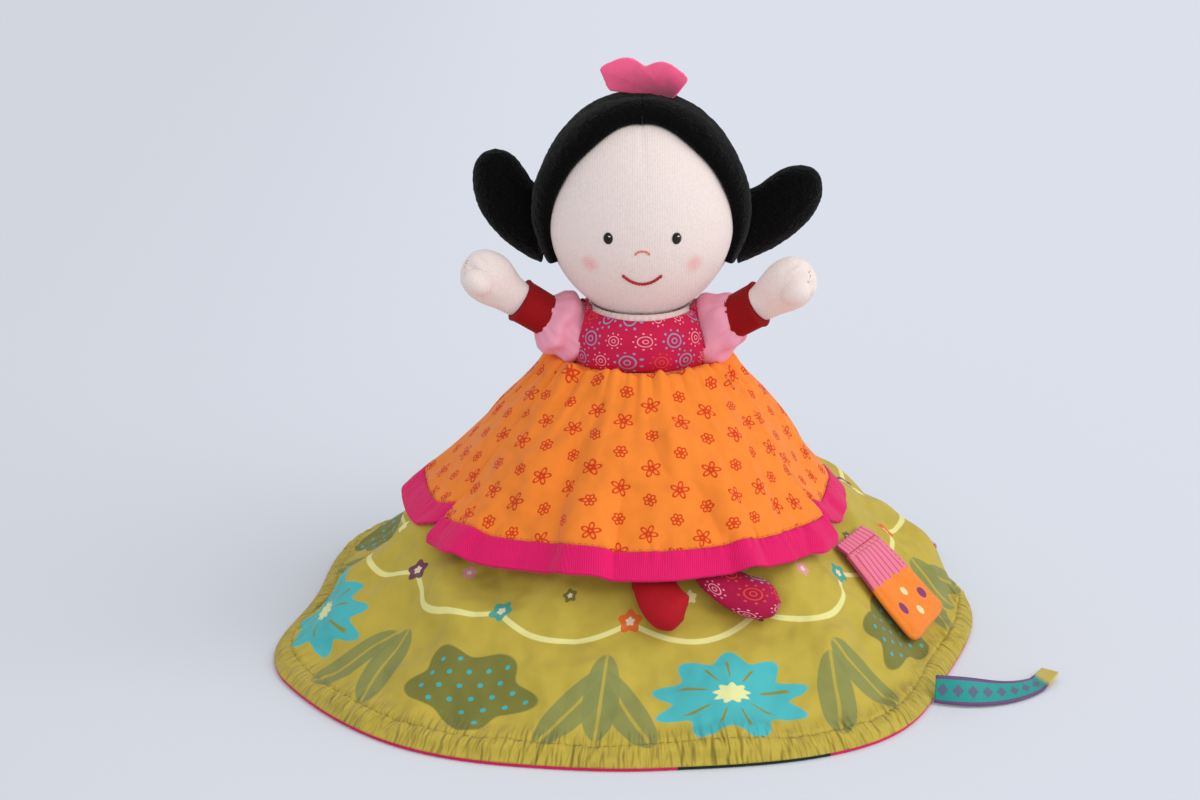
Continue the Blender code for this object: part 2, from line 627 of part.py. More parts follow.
def build_crown(doll: SimpleNamespace) -> bpy.types.Object:
    """The felt crown: a flat outline with two round lobes and two pointed ends, stood on the hair."""
    outline_shares = (
        (-0.38, 0.0, "VECTOR"), (-0.50, 0.56, "VECTOR"), (-0.36, 0.84, "AUTO"), (-0.19, 1.0, "AUTO"),
        (0.0, 0.78, "VECTOR"), (0.19, 1.0, "AUTO"), (0.36, 0.84, "AUTO"), (0.50, 0.56, "VECTOR"),
        (0.38, 0.0, "VECTOR"),
    )
    curve = bpy.data.curves.new("felt_crown", "CURVE")
    curve.dimensions = "2D"
    curve.fill_mode = "BOTH"
    curve.resolution_u = 4
    curve.extrude = CROWN_THICKNESS / 2
    spline = curve.splines.new("BEZIER")
    spline.bezier_points.add(len(outline_shares) - 1)
    for point, (across, up, handle) in zip(spline.bezier_points, outline_shares):
        point.co = (across * CROWN_WIDTH, up * CROWN_HEIGHT, 0.0)
        point.handle_left_type = handle
        point.handle_right_type = handle
    spline.use_cyclic_u = True
    flat = bpy.data.objects.new("crown_outline", curve)
    bpy.context.scene.collection.objects.link(flat)
    bm = bmesh.new()
    evaluated = flat.evaluated_get(bpy.context.evaluated_depsgraph_get())
    bm.from_mesh(bpy.data.meshes.new_from_object(evaluated))
    bpy.data.objects.remove(flat, do_unlink=True)
    bmesh.ops.remove_doubles(bm, verts=bm.verts, dist=FIT_GAP * 0.05)
    top = doll.head_z + HEAD_HEIGHT / 2 + HAIR_THICKNESS + CROWN_STAND
    stand = Matrix.Translation(Vector((0.0, 0.0, top))) @ Matrix.Rotation(math.radians(CROWN_TILT), 4, "Y")
    bmesh.ops.transform(bm, matrix=stand @ Matrix.Rotation(math.radians(90), 4, "X"), verts=bm.verts)
    bmesh.ops.recalc_face_normals(bm, faces=bm.faces)
    return add_object("felt_crown", mesh_from(bm, "felt_crown"), "pink_felt", smooth=False)


def build_bodice(doll: SimpleNamespace, shoulders: dict) -> bpy.types.Object:
    """A stuffed bodice on the waist seam, hollowed for the head above it and for the two arms."""
    bottom = WAIST_SEAM_HEIGHT / 2 + FIT_GAP
    height = doll.bodice_height

    def place(around: float, along: float) -> Vector:
        turn = 2 * math.pi * around
        rise = eased(along)
        swell = smooth_between(BODICE_SHARES, rise)
        x = abs(math.cos(turn)) ** 0.86 * math.copysign(doll.bodice_width / 2, math.cos(turn)) * swell
        y = abs(math.sin(turn)) ** 0.86 * math.copysign(doll.bodice_depth / 2, math.sin(turn)) * swell
        return Vector((x, y, WAIST_Z + doll.up * (bottom + (height - bottom) * rise)))

    made = solid(f"{doll.prefix}bodice", 24, 7, place, doll.dress)
    radii = Vector((
        HEAD_WIDTH / 2 + NECK_CLEARANCE, HEAD_DEPTH / 2 + NOD_CLEARANCE, HEAD_HEIGHT / 2 + NECK_CLEARANCE,
    ))
    cut(made, ball_cutter(f"{doll.prefix}chin_cutter", Vector((0.0, 0.0, doll.head_z)), radii))
    chin = doll.head_z - doll.up * HEAD_HEIGHT / 2
    bm = bmesh.new()
    socket = NECK_RADIUS + FIT_GAP
    bmesh.ops.create_cone(bm, cap_ends=True, segments=20, radius1=socket, radius2=socket, depth=2 * NECK_CLEARANCE)
    bmesh.ops.translate(bm, vec=(0.0, 0.0, chin), verts=bm.verts)
    cut(made, cutter(f"{doll.prefix}neck_cutter", mesh_from(bm, "neck_cutter")))
    for side, place_of in shoulders.items():
        radius = doll.sleeve_radius + SHOULDER_CLEARANCE
        cut(made, ball_cutter(f"{doll.prefix}{side}_shoulder_cutter", place_of, Vector((radius,) * 3)))
    return made


def build_neck(doll: SimpleNamespace) -> bpy.types.Object:
    """The short stuffed neck between a bodice and its head."""
    chin = doll.head_z - doll.up * HEAD_HEIGHT / 2
    chest = chin - doll.up * NECK_CLEARANCE
    low, high = min(chin, chest), max(chin, chest)
    bm = bmesh.new()
    bmesh.ops.create_cone(
        bm, cap_ends=True, segments=20, radius1=NECK_RADIUS, radius2=NECK_RADIUS, depth=high - low - 2 * FIT_GAP
    )
    bmesh.ops.translate(bm, vec=(0.0, 0.0, (low + high) / 2), verts=bm.verts)
    return add_object(f"{doll.prefix}neck", mesh_from(bm, "neck"), "velour", smooth=False)


def arm_frame(doll: SimpleNamespace, side: str, sign: float) -> tuple[Vector, Vector, Vector]:
    """Return an arm's shoulder point, its direction, and the direction across it that is level."""
    shoulder = Vector((sign * doll.shoulder_x, SHOULDER_Y, WAIST_Z + doll.up * doll.shoulder_rise))
    raised = math.radians(doll.arm_angle[side])
    forward = math.radians(doll.arm_forward[side])
    along = Vector((
        sign * math.cos(raised) * math.cos(forward), -math.sin(forward),
        doll.up * math.sin(raised) * math.cos(forward),
    ))
    level = Vector((0.0, 1.0, 0.0)) - along * along.y
    return shoulder, along, level.normalized()


def build_sleeve(doll: SimpleNamespace, side: str, sign: float) -> bpy.types.Object:
    """The puffed sleeve, a stuffed ball at the shoulder."""
    bm = bmesh.new()
    bmesh.ops.create_uvsphere(bm, u_segments=14, v_segments=9, radius=doll.sleeve_radius)
    bmesh.ops.translate(bm, vec=arm_frame(doll, side, sign)[0], verts=bm.verts)
    return add_object(f"{doll.prefix}sleeve_{side}", mesh_from(bm, "sleeve"), doll.sleeve)


def build_arm(doll: SimpleNamespace, side: str, sign: float) -> list[bpy.types.Object]:
    """The moving part of an arm: a cuff hollowed to fit the sleeve's ball, and a mitten hand with its thumb."""
    shoulder, along, level = arm_frame(doll, side, sign)
    up = Vector((0.0, 0.0, doll.up))
    up = (up - along * up.dot(along)).normalized()
    cuff_start = doll.sleeve_radius * 0.75
    cuff_end = doll.sleeve_radius + CUFF_LENGTH
    hand_start = cuff_end + FIT_GAP
    thin = HAND_THICKNESS / HAND_WIDTH * doll.hand_width

    def cuff_path(t: float) -> Vector:
        return shoulder + along * (cuff_start + (cuff_end - cuff_start) * t)

    def hand_path(t: float) -> Vector:
        return shoulder + along * (hand_start + doll.hand_length * t) + up * HAND_BOW * (1 - math.cos(math.pi * t)) / 2

    cuff_tube = swept(cuff_path, doll.cuff_radius, doll.cuff_radius, CUFF_SHARES, CUFF_SHARES, level)
    cuff = solid(f"{doll.prefix}cuff_{side}", 12, 4, cuff_tube, doll.cuff)
    socket = doll.sleeve_radius + FIT_GAP
    cut(cuff, ball_cutter(f"{doll.prefix}{side}_sleeve_cutter", shoulder, Vector((socket,) * 3)))
    hand_tube = swept(hand_path, thin / 2, doll.hand_width / 2, HAND_SHARES, HAND_SHARES, level)
    hand = solid(f"{doll.prefix}hand_{side}", 12, 8, hand_tube, "velour")
    size = THUMB_RADIUS * doll.hand_width / HAND_WIDTH
    thumb = hand_path(0.74) - level * (thin / 2 - size * 0.35) - up * size * 0.5
    cut(hand, ball_cutter(f"{doll.prefix}{side}_thumb", thumb, Vector((size,) * 3)), "UNION")
    return [cuff, hand]


def build_leg(side: str, turn_to: float) -> list[bpy.types.Object]:
    """A flat stuffed leg and its boot, both lying on the green skirt, the boot turned to one side."""
    hip, ankle, ankle_z = HIP_ANGLES[side], ANKLE_ANGLES[side], LEG_BOTTOM_Z
    leg_lift = CLOTH_THICKNESS / 2 + 2 * FIT_GAP + LEG_THICKNESS / 2
    boot_lift = CLOTH_THICKNESS / 2 + BOOT_LIFT + BOOT_THICKNESS / 2

    def leg_path(t: float) -> Vector:
        angle = hip + (ankle - hip) * math.sin(t * math.pi / 2)
        return on_green(angle, LEG_TOP_Z + (ankle_z + FIT_GAP - LEG_TOP_Z) * t, leg_lift)

    def boot_path(t: float) -> Vector:
        lift = leg_lift + (boot_lift - leg_lift) * eased(t)
        z = ankle_z - FIT_GAP + (BOOT_BOTTOM_Z[side] - ankle_z) * math.sin(t * math.pi / 2)
        return on_green(ankle + turn_to * t ** 1.8, z, lift)

    across = on_green(ankle + 1.0, ankle_z) - on_green(ankle, ankle_z)
    leg_tube = swept(leg_path, LEG_WIDTH / 2, LEG_THICKNESS / 2, LEG_SHARES, LEG_SHARES, across)
    boot_tube = swept(
        boot_path, BOOT_WIDTH / 2, BOOT_THICKNESS / 2, BOOT_WIDTH_SHARES, BOOT_THICKNESS_SHARES, across
    )
    slot = "red_cotton" if side == "left" else "maroon_print"
    return [solid(f"leg_{side}", 12, 7, leg_tube, "red_cotton"), solid(f"boot_{side}", 12, 8, boot_tube, slot)]


def flap_place(across: float, down: float, lift: float) -> Vector:
    """Return a point of the flap over the green skirt: across its width, down its length and lifted."""
    spread = FLAP_SPREAD_ANGLE * down * (1 - across)
    angle = FLAP_START_ANGLE + (FLAP_END_ANGLE - FLAP_START_ANGLE) * across - spread
    z = FLAP_TOP_Z + (FLAP_BOTTOM_Z - FLAP_TOP_Z) * down
    return on_green(angle, max(z, GREEN_BOTTOM_Z), lift)


def build_flap() -> list[bpy.types.Object]:
    """The padded flap on the skirt, and the strip that its upper edge is sewn down with."""
    base = CLOTH_THICKNESS / 2 + FLAP_LIFT
    height = FLAP_TOP_Z - FLAP_BOTTOM_Z
    strip_share = FLAP_STRIP_WIDTH / height

    def pad(across: float, down: float) -> Vector:
        return flap_place(across, strip_share + FIT_GAP / height + (1 - strip_share) * down, base + FLAP_THICKNESS / 2)

    def strip(across: float, down: float) -> Vector:
        return flap_place(across, strip_share * down - FIT_GAP / height, base + FLAP_STRIP_THICKNESS / 2)

    return [
        sheet("padded_flap", 5, 9, pad, FLAP_THICKNESS, "orange_pad"),
        sheet("flap_strip", 5, 1, strip, FLAP_STRIP_THICKNESS, "orange_pad"),
    ]


def hem_point(angle: float) -> Vector:
    """Return the point just outside the hem's edge where a ribbon leaves it."""
    radius = green_radius(angle, GREEN_BOTTOM_Z) + HEM_EDGE_RADIUS * 1.5 + FIT_GAP + RIBBON_THICKNESS / 2
    return round_point(angle, radius, 0.0)


def build_tag() -> bpy.types.Object:
    """A ribbon tag that leaves the hem standing on edge and turns to lie outward on the floor."""
    start = hem_point(TAG_ANGLE)
    outward = math.radians(TAG_ANGLE)

    def place(across: float, down: float) -> Vector:
        heading = outward + math.radians(TAG_TURN) * (0.35 + 0.65 * down)
        centre = start + Vector((math.cos(heading), math.sin(heading), 0.0)) * TAG_LENGTH * down
        lean = math.radians(90.0 - TAG_TWIST * down)
        half = RIBBON_WIDTH / 2
        side = Vector((-math.sin(heading), math.cos(heading), 0.0)) * math.cos(lean) + Vector((0, 0, math.sin(lean)))
        lowest = RIBBON_LEAN + half * abs(math.sin(lean))
        return centre + Vector((0.0, 0.0, lowest)) + side * half * (2 * across - 1)

    return sheet("ribbon_tag", 1, 12, place, RIBBON_THICKNESS, "teal_ribbon")


def build_loop() -> bpy.types.Object:
    """A short ribbon loop that stands out of the hem."""
    start = hem_point(LOOP_ANGLE)
    outward = Vector((math.cos(math.radians(LOOP_ANGLE)), math.sin(math.radians(LOOP_ANGLE)), 0.0))
    level = Vector((-outward.y, outward.x, 0.0))
    half = LOOP_OPENING / 2
    turn_at = LOOP_LENGTH - half

    def place(across: float, down: float) -> Vector:
        straight = turn_at
        whole = 2 * straight + math.pi * half
        run = down * whole
        if run <= straight:
            out, up = run, -half
        elif run >= whole - straight:
            out, up = whole - run, half
        else:
            bend = (run - straight) / half
            out, up = straight + half * math.sin(bend), -half * math.cos(bend)
        lowest = half + RIBBON_THICKNESS
        return start + outward * out + Vector((0.0, 0.0, lowest + up)) + level * RIBBON_WIDTH * (across - 0.5)

    return sheet("ribbon_loop", 1, 14, place, RIBBON_THICKNESS, "teal_ribbon")


def upper_doll() -> SimpleNamespace:
    """Return the sizes of the doll that stands upright."""
    return SimpleNamespace(
        prefix="", up=1.0, head_z=WAIST_Z + HEAD_RISE, bodice_height=BODICE_HEIGHT, bodice_width=BODICE_WIDTH,
        bodice_depth=BODICE_DEPTH, cuff_radius=CUFF_RADIUS, arm_forward=ARM_FORWARD_ANGLES, nape_drop=NAPE_DROP,
        shoulder_x=SHOULDER_X, shoulder_rise=SHOULDER_RISE, arm_angle=ARM_ANGLES,
        sleeve_radius=SLEEVE_RADIUS, hand_length=HAND_LENGTH, hand_width=HAND_WIDTH,
        hair="black_plush", dress="rose_print", sleeve="pink_cotton", cuff="dark_red",
    )


def lower_doll() -> SimpleNamespace:
    """Return the sizes of the doll that hangs head down inside the skirts and stands on its hair."""
    return SimpleNamespace(
        prefix="lower_", up=-1.0, head_z=HEAD_HEIGHT / 2 + HAIR_GAP + HAIR_THICKNESS - REST_FLAT,
        bodice_height=LOWER_BODICE_HEIGHT, bodice_width=LOWER_BODICE_WIDTH, bodice_depth=LOWER_BODICE_DEPTH,
        cuff_radius=LOWER_CUFF_RADIUS, arm_forward={"left": LOWER_FORWARD_ANGLE, "right": LOWER_FORWARD_ANGLE},
        nape_drop=LOWER_NAPE_DROP,
        shoulder_x=LOWER_SHOULDER_X, shoulder_rise=LOWER_SHOULDER_RISE,
        arm_angle={"left": LOWER_ARM_ANGLE, "right": LOWER_ARM_ANGLE},
        sleeve_radius=LOWER_SLEEVE_RADIUS, hand_length=LOWER_HAND_LENGTH, hand_width=LOWER_HAND_WIDTH,
        hair="brown_plush", dress="plum", sleeve="teal_cotton", cuff="plum",
    )


def build_doll(doll: SimpleNamespace) -> None:
    """Build one stuffed doll from the waist out, under the empties of its joints."""
    chin = Vector((0.0, 0.0, doll.head_z - doll.up * HEAD_HEIGHT / 2))
    neck_joint = joint_empty(f"{doll.prefix}neck_joint", chin)
    head_joint = joint_empty(f"{doll.prefix}head_joint", chin, neck_joint)
    carry(build_neck(doll), neck_joint)
    carry(build_head(doll), head_joint)
    hair = build_hair_cap(doll)
    if doll.up < 0:
        reach = HEAD_WIDTH
        floor = box_cutter("rest_cutter", Vector((-reach, -reach, -reach)), Vector((reach, reach, 0.0)))
        cut(hair, floor)
    carry(hair, head_joint)
    shoulders = {}
    for side, sign in (("left", -1.0), ("right", 1.0)):
        roll = build_hair_roll(doll, side, sign)
        if doll.up < 0:
            cut(roll, floor)
        carry(roll, head_joint)
        shoulders[side] = arm_frame(doll, side, sign)[0]
        arm_joint = joint_empty(f"{doll.prefix}arm_{side}_joint", shoulders[side])
        build_sleeve(doll, side, sign)
        for piece in build_arm(doll, side, sign):
            carry(piece, arm_joint)
        if doll.up > 0:
            pivot = Vector((sign * BUNCH_ROOT_X, BUNCH_ROOT_Y, WAIST_Z + BUNCH_ROOT_RISE + BUNCH_PIVOT_RISE))
            carry(build_bunch(doll, side, sign), joint_empty(f"hair_{side}_joint", pivot, head_joint))
    if doll.up > 0:
        base = Vector((0.0, 0.0, doll.head_z + HEAD_HEIGHT / 2 + HAIR_THICKNESS + CROWN_STAND))
        carry(build_crown(doll), joint_empty("crown_joint", base, head_joint))
    build_bodice(doll, shoulders)


def build_all() -> None:
    """Build the whole object."""
    clear_scene()
    collection(COLLECTION_NAME)
    collection(CUTTER_COLLECTION_NAME)
    build_waist_seam()
    build_doll(upper_doll())
    build_doll(lower_doll())
    build_green_skirt()
    build_lining()
    build_overskirt()
    hem_joint = joint_empty("skirt_lift_joint", Vector((0.0, 0.0, 0.0)))
    carry(build_hem_edge(), hem_joint)
    carry(build_tag(), joint_empty("tag_joint", hem_point(TAG_ANGLE), hem_joint))
    carry(build_loop(), joint_empty("loop_joint", hem_point(LOOP_ANGLE), hem_joint))
    for side in ("left", "right"):
        hip = on_green(HIP_ANGLES[side], LEG_TOP_Z)
        leg_joint = joint_empty(f"leg_{side}_joint", hip)
        for piece in build_leg(side, BOOT_TURN[side]):
            carry(piece, leg_joint)
    flap, strip = build_flap()
    strip_share = FLAP_STRIP_WIDTH / (FLAP_TOP_Z - FLAP_BOTTOM_Z)
    carry(flap, joint_empty("flap_joint", flap_place(0.5, strip_share, CLOTH_THICKNESS / 2 + FLAP_LIFT + FLAP_PIVOT_LIFT)))
    bpy.context.view_layer.update()


build_all()
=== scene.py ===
"""A topsy turvy doll: one cloth doll upright, and one hidden head down under its skirts."""
import logging
from collections.abc import Callable, Sequence
from dataclasses import dataclass, field
from enum import Enum, StrEnum
from math import atan2, copysign, cos, degrees, hypot, pi, radians, sin, sqrt

import bmesh
import bpy
from mathutils import Matrix, Vector, noise


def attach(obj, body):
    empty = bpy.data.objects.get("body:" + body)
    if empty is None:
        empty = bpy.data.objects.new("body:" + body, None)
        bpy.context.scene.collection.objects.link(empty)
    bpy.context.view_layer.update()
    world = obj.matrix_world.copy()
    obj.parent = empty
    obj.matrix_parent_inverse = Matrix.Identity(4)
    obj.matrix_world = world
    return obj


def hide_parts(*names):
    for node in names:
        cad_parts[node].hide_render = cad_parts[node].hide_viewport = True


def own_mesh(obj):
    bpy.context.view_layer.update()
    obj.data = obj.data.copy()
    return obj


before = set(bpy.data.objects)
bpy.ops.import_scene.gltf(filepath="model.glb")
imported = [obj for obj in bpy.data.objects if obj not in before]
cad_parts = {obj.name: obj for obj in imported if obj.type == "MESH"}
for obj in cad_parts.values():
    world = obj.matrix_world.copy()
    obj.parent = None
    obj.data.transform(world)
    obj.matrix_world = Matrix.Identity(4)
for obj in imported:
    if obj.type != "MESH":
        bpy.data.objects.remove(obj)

LOG = logging.getLogger("topsy_turvy_doll")
Look = bpy.types.Material
Mesh = bmesh.types.BMesh
Piece = bpy.types.Object
Place = Callable[[float, float], Vector]
Cut = Callable[[float, float], tuple[float, float]]
Shares = tuple[tuple[float, float], ...]

MM = 0.001
FIT_GAP = 0.0003
HAIR_GAP = 0.0009
WAIST_Z = 0.134
WAIST_WIDTH = 0.066
WAIST_DEPTH = 0.060
UP = Vector((0.0, 0.0, 1.0))
MEASURED_AT = -100.0
HEM_LEAN = 2.09
BROWN_SKIN = "EBC9A8"
CREAM_SKIN = "F4E3DC"


class Side(Enum):
    """The pictured side that a piece is on."""

    LEFT = -1.0
    RIGHT = 1.0

    @property
    def word(self) -> str:
        """The side's name in lower case."""
        return self.name.lower()


class Body(StrEnum):
    """The bodies that pieces ride on."""

    TORSO = "torso"
    NECK = "neck_swivel"
    HEAD = "head_assembly"
    LOWER_HEAD = "lower_head_assembly"
    CROWN = "crown"
    HEM = "hem"
    TAG = "tag"
    LOOP = "loop"
    FLAP = "flap"


def linear(code: str) -> tuple[float, float, float, float]:
    """Turn a six-figure colour code into linear colour.

    Args:
        code: the colour as red, green and blue, two figures each in base 16.

    Returns:
        The linear red, green and blue, and an alpha of 1.
    """
    parts = [int(code[i:i + 2], 16) / 255 for i in (0, 2, 4)]
    made = [p / 12.92 if p <= 0.04045 else ((p + 0.055) / 1.055) ** 2.4 for p in parts]
    return (made[0], made[1], made[2], 1.0)


def smooth_between(shares: Shares, position: float) -> float:
    """Read a smooth curve through given points, which never passes above or below them.

    Args:
        shares: the curve's points, as position and value.
        position: where to read it.

    Returns:
        The curve's value there.
    """
    last = len(shares) - 1
    slopes = [(shares[i + 1][1] - shares[i][1]) / (shares[i + 1][0] - shares[i][0])
              for i in range(last)]
    tangents = [slopes[0]]
    for before, after in zip(slopes, slopes[1:]):
        tangents.append(0.0 if before * after <= 0 else 2 * before * after / (before + after))
    tangents.append(slopes[-1])
    position = min(max(position, shares[0][0]), shares[-1][0])
    i = max(k for k in range(last) if shares[k][0] <= position)
    width = shares[i + 1][0] - shares[i][0]
    t = (position - shares[i][0]) / width
    return (
        shares[i][1] * (1 + 2 * t) * (1 - t) ** 2
        + shares[i + 1][1] * t * t * (3 - 2 * t)
        + tangents[i] * width * t * (1 - t) ** 2
        - tangents[i + 1] * width * t * t * (1 - t)
    )


def bump(value: float, centre: float, half_width: float) -> float:
    """Return a smooth hill of height 1 at centre, which ends half_width away on both sides."""
    off = abs(value - centre) / half_width
    return 0.0 if off >= 1 else cos(off * pi / 2) ** 2


def clamped(value: float) -> float:
    """Return a value held between 0 and 1."""
    return min(max(value, 0.0), 1.0)


def angle_off(angle: float, centre: float) -> float:
    """Return how far an angle lies from centre, in degrees, the short way round."""
    return (angle - centre + 180.0) % 360.0 - 180.0


def beside(angle: float, centre: float, half_width: float) -> float:
    """Return a smooth hill of height 1 round an angle, in degrees."""
    return bump(angle_off(angle, centre), 0.0, half_width)


def eased(share: float) -> float:
    """Return a share spread so that points crowd towards both ends."""
    return 0.5 - 0.5 * cos(pi * share)


def mottle(x: float, y: float, z: float) -> float:
    """Return smooth noise from -1 to 1 at a place."""
    return noise.noise(Vector((x, y, z)))


def ripple(point: Vector, size: float, seed: float = 0.0) -> float:
    """Return smooth noise from -1 to 1, with lumps of about the given size in metres."""
    return noise.noise(point / size + Vector((seed, seed * 0.7, -seed)))


def keep_out(point: Vector, centre: Vector, radii: Vector) -> Vector:
    """Push a point that lies inside an ellipsoid straight out to its surface.

    Args:
        point: the point.
        centre: the ellipsoid's centre.
        radii: its half sizes along X, Y and Z.

    Returns:
        The same point, or the one on the surface.
    """
    off = point - centre
    reach = sqrt(sum((off[i] / radii[i]) ** 2 for i in range(3)))
    return point if reach >= 1 or reach < 1e-6 else centre + off / reach


# Mesh work


def woven(columns: int, rows: int, place: Place, cut: Cut,
          hub: Vector | None = None, joined: bool = False) -> Mesh:
    """Make a sheet from a grid, with its place on the flat cloth kept as its map.

    Args:
        columns: faces across.
        rows: faces down.
        place: gives a point for a share across and a share down.
        cut: gives the point on the flat cloth, in metres, for the same shares.
        hub: a point that the sheet faces away from, or None to leave its faces alone.
        joined: whether the sheet's first and last columns meet.

    Returns:
        The open mesh.
    """
    bm = bmesh.new()
    bmesh.ops.create_grid(bm, x_segments=columns, y_segments=rows, size=0.5)
    layer = bm.loops.layers.uv.new("UVMap")
    for face in bm.faces:
        for loop in face.loops:
            loop[layer].uv = cut(loop.vert.co.x + 0.5, loop.vert.co.y + 0.5)
    for vert in bm.verts:
        vert.co = place(vert.co.x + 0.5, vert.co.y + 0.5)
    if joined:
        bmesh.ops.remove_doubles(bm, verts=bm.verts, dist=0.01 * MM)
    if hub is not None:
        bm.normal_update()
        if sum(f.normal.dot(f.calc_center_median() - hub) for f in bm.faces) < 0:
            bmesh.ops.reverse_faces(bm, faces=bm.faces)
    return bm


def face_outwards(bm: Mesh) -> None:
    """Turn every face of a closed or a single sheet to one side."""
    bmesh.ops.recalc_face_normals(bm, faces=bm.faces)


def flat_cloth(width: float, length: float) -> Cut:
    """Return the map of an even cloth of a given width and length."""
    return lambda u, v: (u * width, v * length)


def stuffed(around: int, along: int, place: Place, girth: float, length: float,
            cut: Cut | None = None) -> Mesh:
    """Make a closed stuffed form from a grid that is wrapped round and closed at both ends.

    Args:
        around: faces round the form.
        along: faces from end to end.
        place: gives a point for a share around and a share along.
        girth: the flat cloth's width in metres, for its map.
        length: the flat cloth's length in metres, for its map.
        cut: gives the point on the flat cloth instead, where it isn't even.

    Returns:
        The closed mesh, its faces outwards.
    """
    bm = woven(around, along, place, cut or flat_cloth(girth, length), joined=True)
    bmesh.ops.holes_fill(bm, edges=[e for e in bm.edges if e.is_boundary], sides=0)
    face_outwards(bm)
    return bm


def swept(path: Callable[[float], Vector], side_half: float, up_half: float, side_shares: Shares,
          up_shares: Shares, side_axis: Vector) -> Place:
    """Give the placing function of a stuffed tube.

    Args:
        path: the tube's middle line, from 0 to 1.
        side_half: its half width.
        up_half: its half thickness.
        side_shares: how the width swells along it.
        up_shares: how the thickness swells along it.
        side_axis: the direction of its width.

    Returns:
        The placing function.
    """
    step = 0.01

    def place(around: float, along: float) -> Vector:
        """Place a point round and along the tube."""
        t = eased(along)
        ahead = (path(min(t + step, 1.0)) - path(max(t - step, 0.0))).normalized()
        side = (side_axis - ahead * side_axis.dot(ahead)).normalized()
        turn = 2 * pi * around
        wide = cos(turn) * side_half * smooth_between(side_shares, t)
        high = sin(turn) * up_half * smooth_between(up_shares, t)
        return path(t) + side * wide + ahead.cross(side) * high

    return place


def join_in(bm: Mesh, other: Mesh) -> None:
    """Add another mesh's geometry to bm, and free the other."""
    spare = bpy.data.meshes.new("spare")
    other.to_mesh(spare)
    other.free()
    bm.from_mesh(spare)
    bpy.data.meshes.remove(spare)


def add_piece(name: str, bm: Mesh, look: Look, body: str, slot: str,
              stands_for: Sequence[str] = (), thickness: float = 0.0, offset: float = 0.0) -> Piece:
    """Turn a mesh into one finished piece that rides on a body.

    Args:
        name: the piece's name.
        bm: its mesh, which is freed.
        look: its material.
        body: the body that it rides on.
        slot: not used.
        stands_for: the CAD nodes that it replaces.
        thickness: the cloth's thickness, or 0 for a closed form.
        offset: where the thickness goes, from -1 for inwards to 1 for outwards.

    Returns:
        The piece.
    """
    mesh = bpy.data.meshes.new(name)
    bm.to_mesh(mesh)
    bm.free()
    mesh.shade_smooth()
    piece = bpy.data.objects.new(name, mesh)
    bpy.context.scene.collection.objects.link(piece)
    mesh.materials.append(look)
    if thickness:
        wall = piece.modifiers.new("cloth", "SOLIDIFY")
        wall.thickness = thickness
        wall.offset = offset
    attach(piece, str(body))
    if stands_for:
        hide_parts(*stands_for)
    LOG.info("%s: %d faces, on %s", name, len(mesh.polygons), body)
    return piece


def gathers_up(*pieces: Piece) -> None:
    """Give each piece its own copy of its mesh."""
    for piece in pieces:
        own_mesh(piece)


# Finishes


def math_node(operation: str) -> Callable[..., "Value"]:
    """Return a method that puts a Math node on a value."""
    return lambda value, *others: value.graph.num(operation, value, *others)


class Value:
    """One node's output in a material, on which plain arithmetic adds Math nodes."""

    __add__ = __radd__ = math_node("ADD")
    __sub__ = math_node("SUBTRACT")
    __mul__ = math_node("MULTIPLY")
    __truediv__ = math_node("DIVIDE")
    __mod__ = math_node("MODULO")
    __abs__ = math_node("ABSOLUTE")
    sine = math_node("SINE")
    cosine = math_node("COSINE")
    floor = math_node("FLOOR")
    fract = math_node("FRACT")
    larger = math_node("MAXIMUM")
    angle_over = math_node("ARCTAN2")

    def __init__(self, graph: "Graph", socket: bpy.types.NodeSocket) -> None:
        """Hold the output and the material that it belongs to."""
        self.graph = graph
        self.socket = socket

    def __rsub__(self, other: float) -> "Value":
        """Return what is left of a plain number."""
        return self.graph.num("SUBTRACT", other, self)

    def wrapped(self, size: float) -> "Value":
        """Return the value wrapped to lie from 0 to a size."""
        return self.graph.num("WRAP", self, size, 0.0)

    def step(self, low: float, high: float) -> "Value":
        """Return a value that goes smoothly from 0 at low to 1 at high."""
        flip = low > high
        ends = {1: min(low, high), 2: max(low, high), 3: float(flip), 4: float(not flip)}
        return self.graph.out("MapRange", {0: self, **ends}, interpolation_type="SMOOTHSTEP")


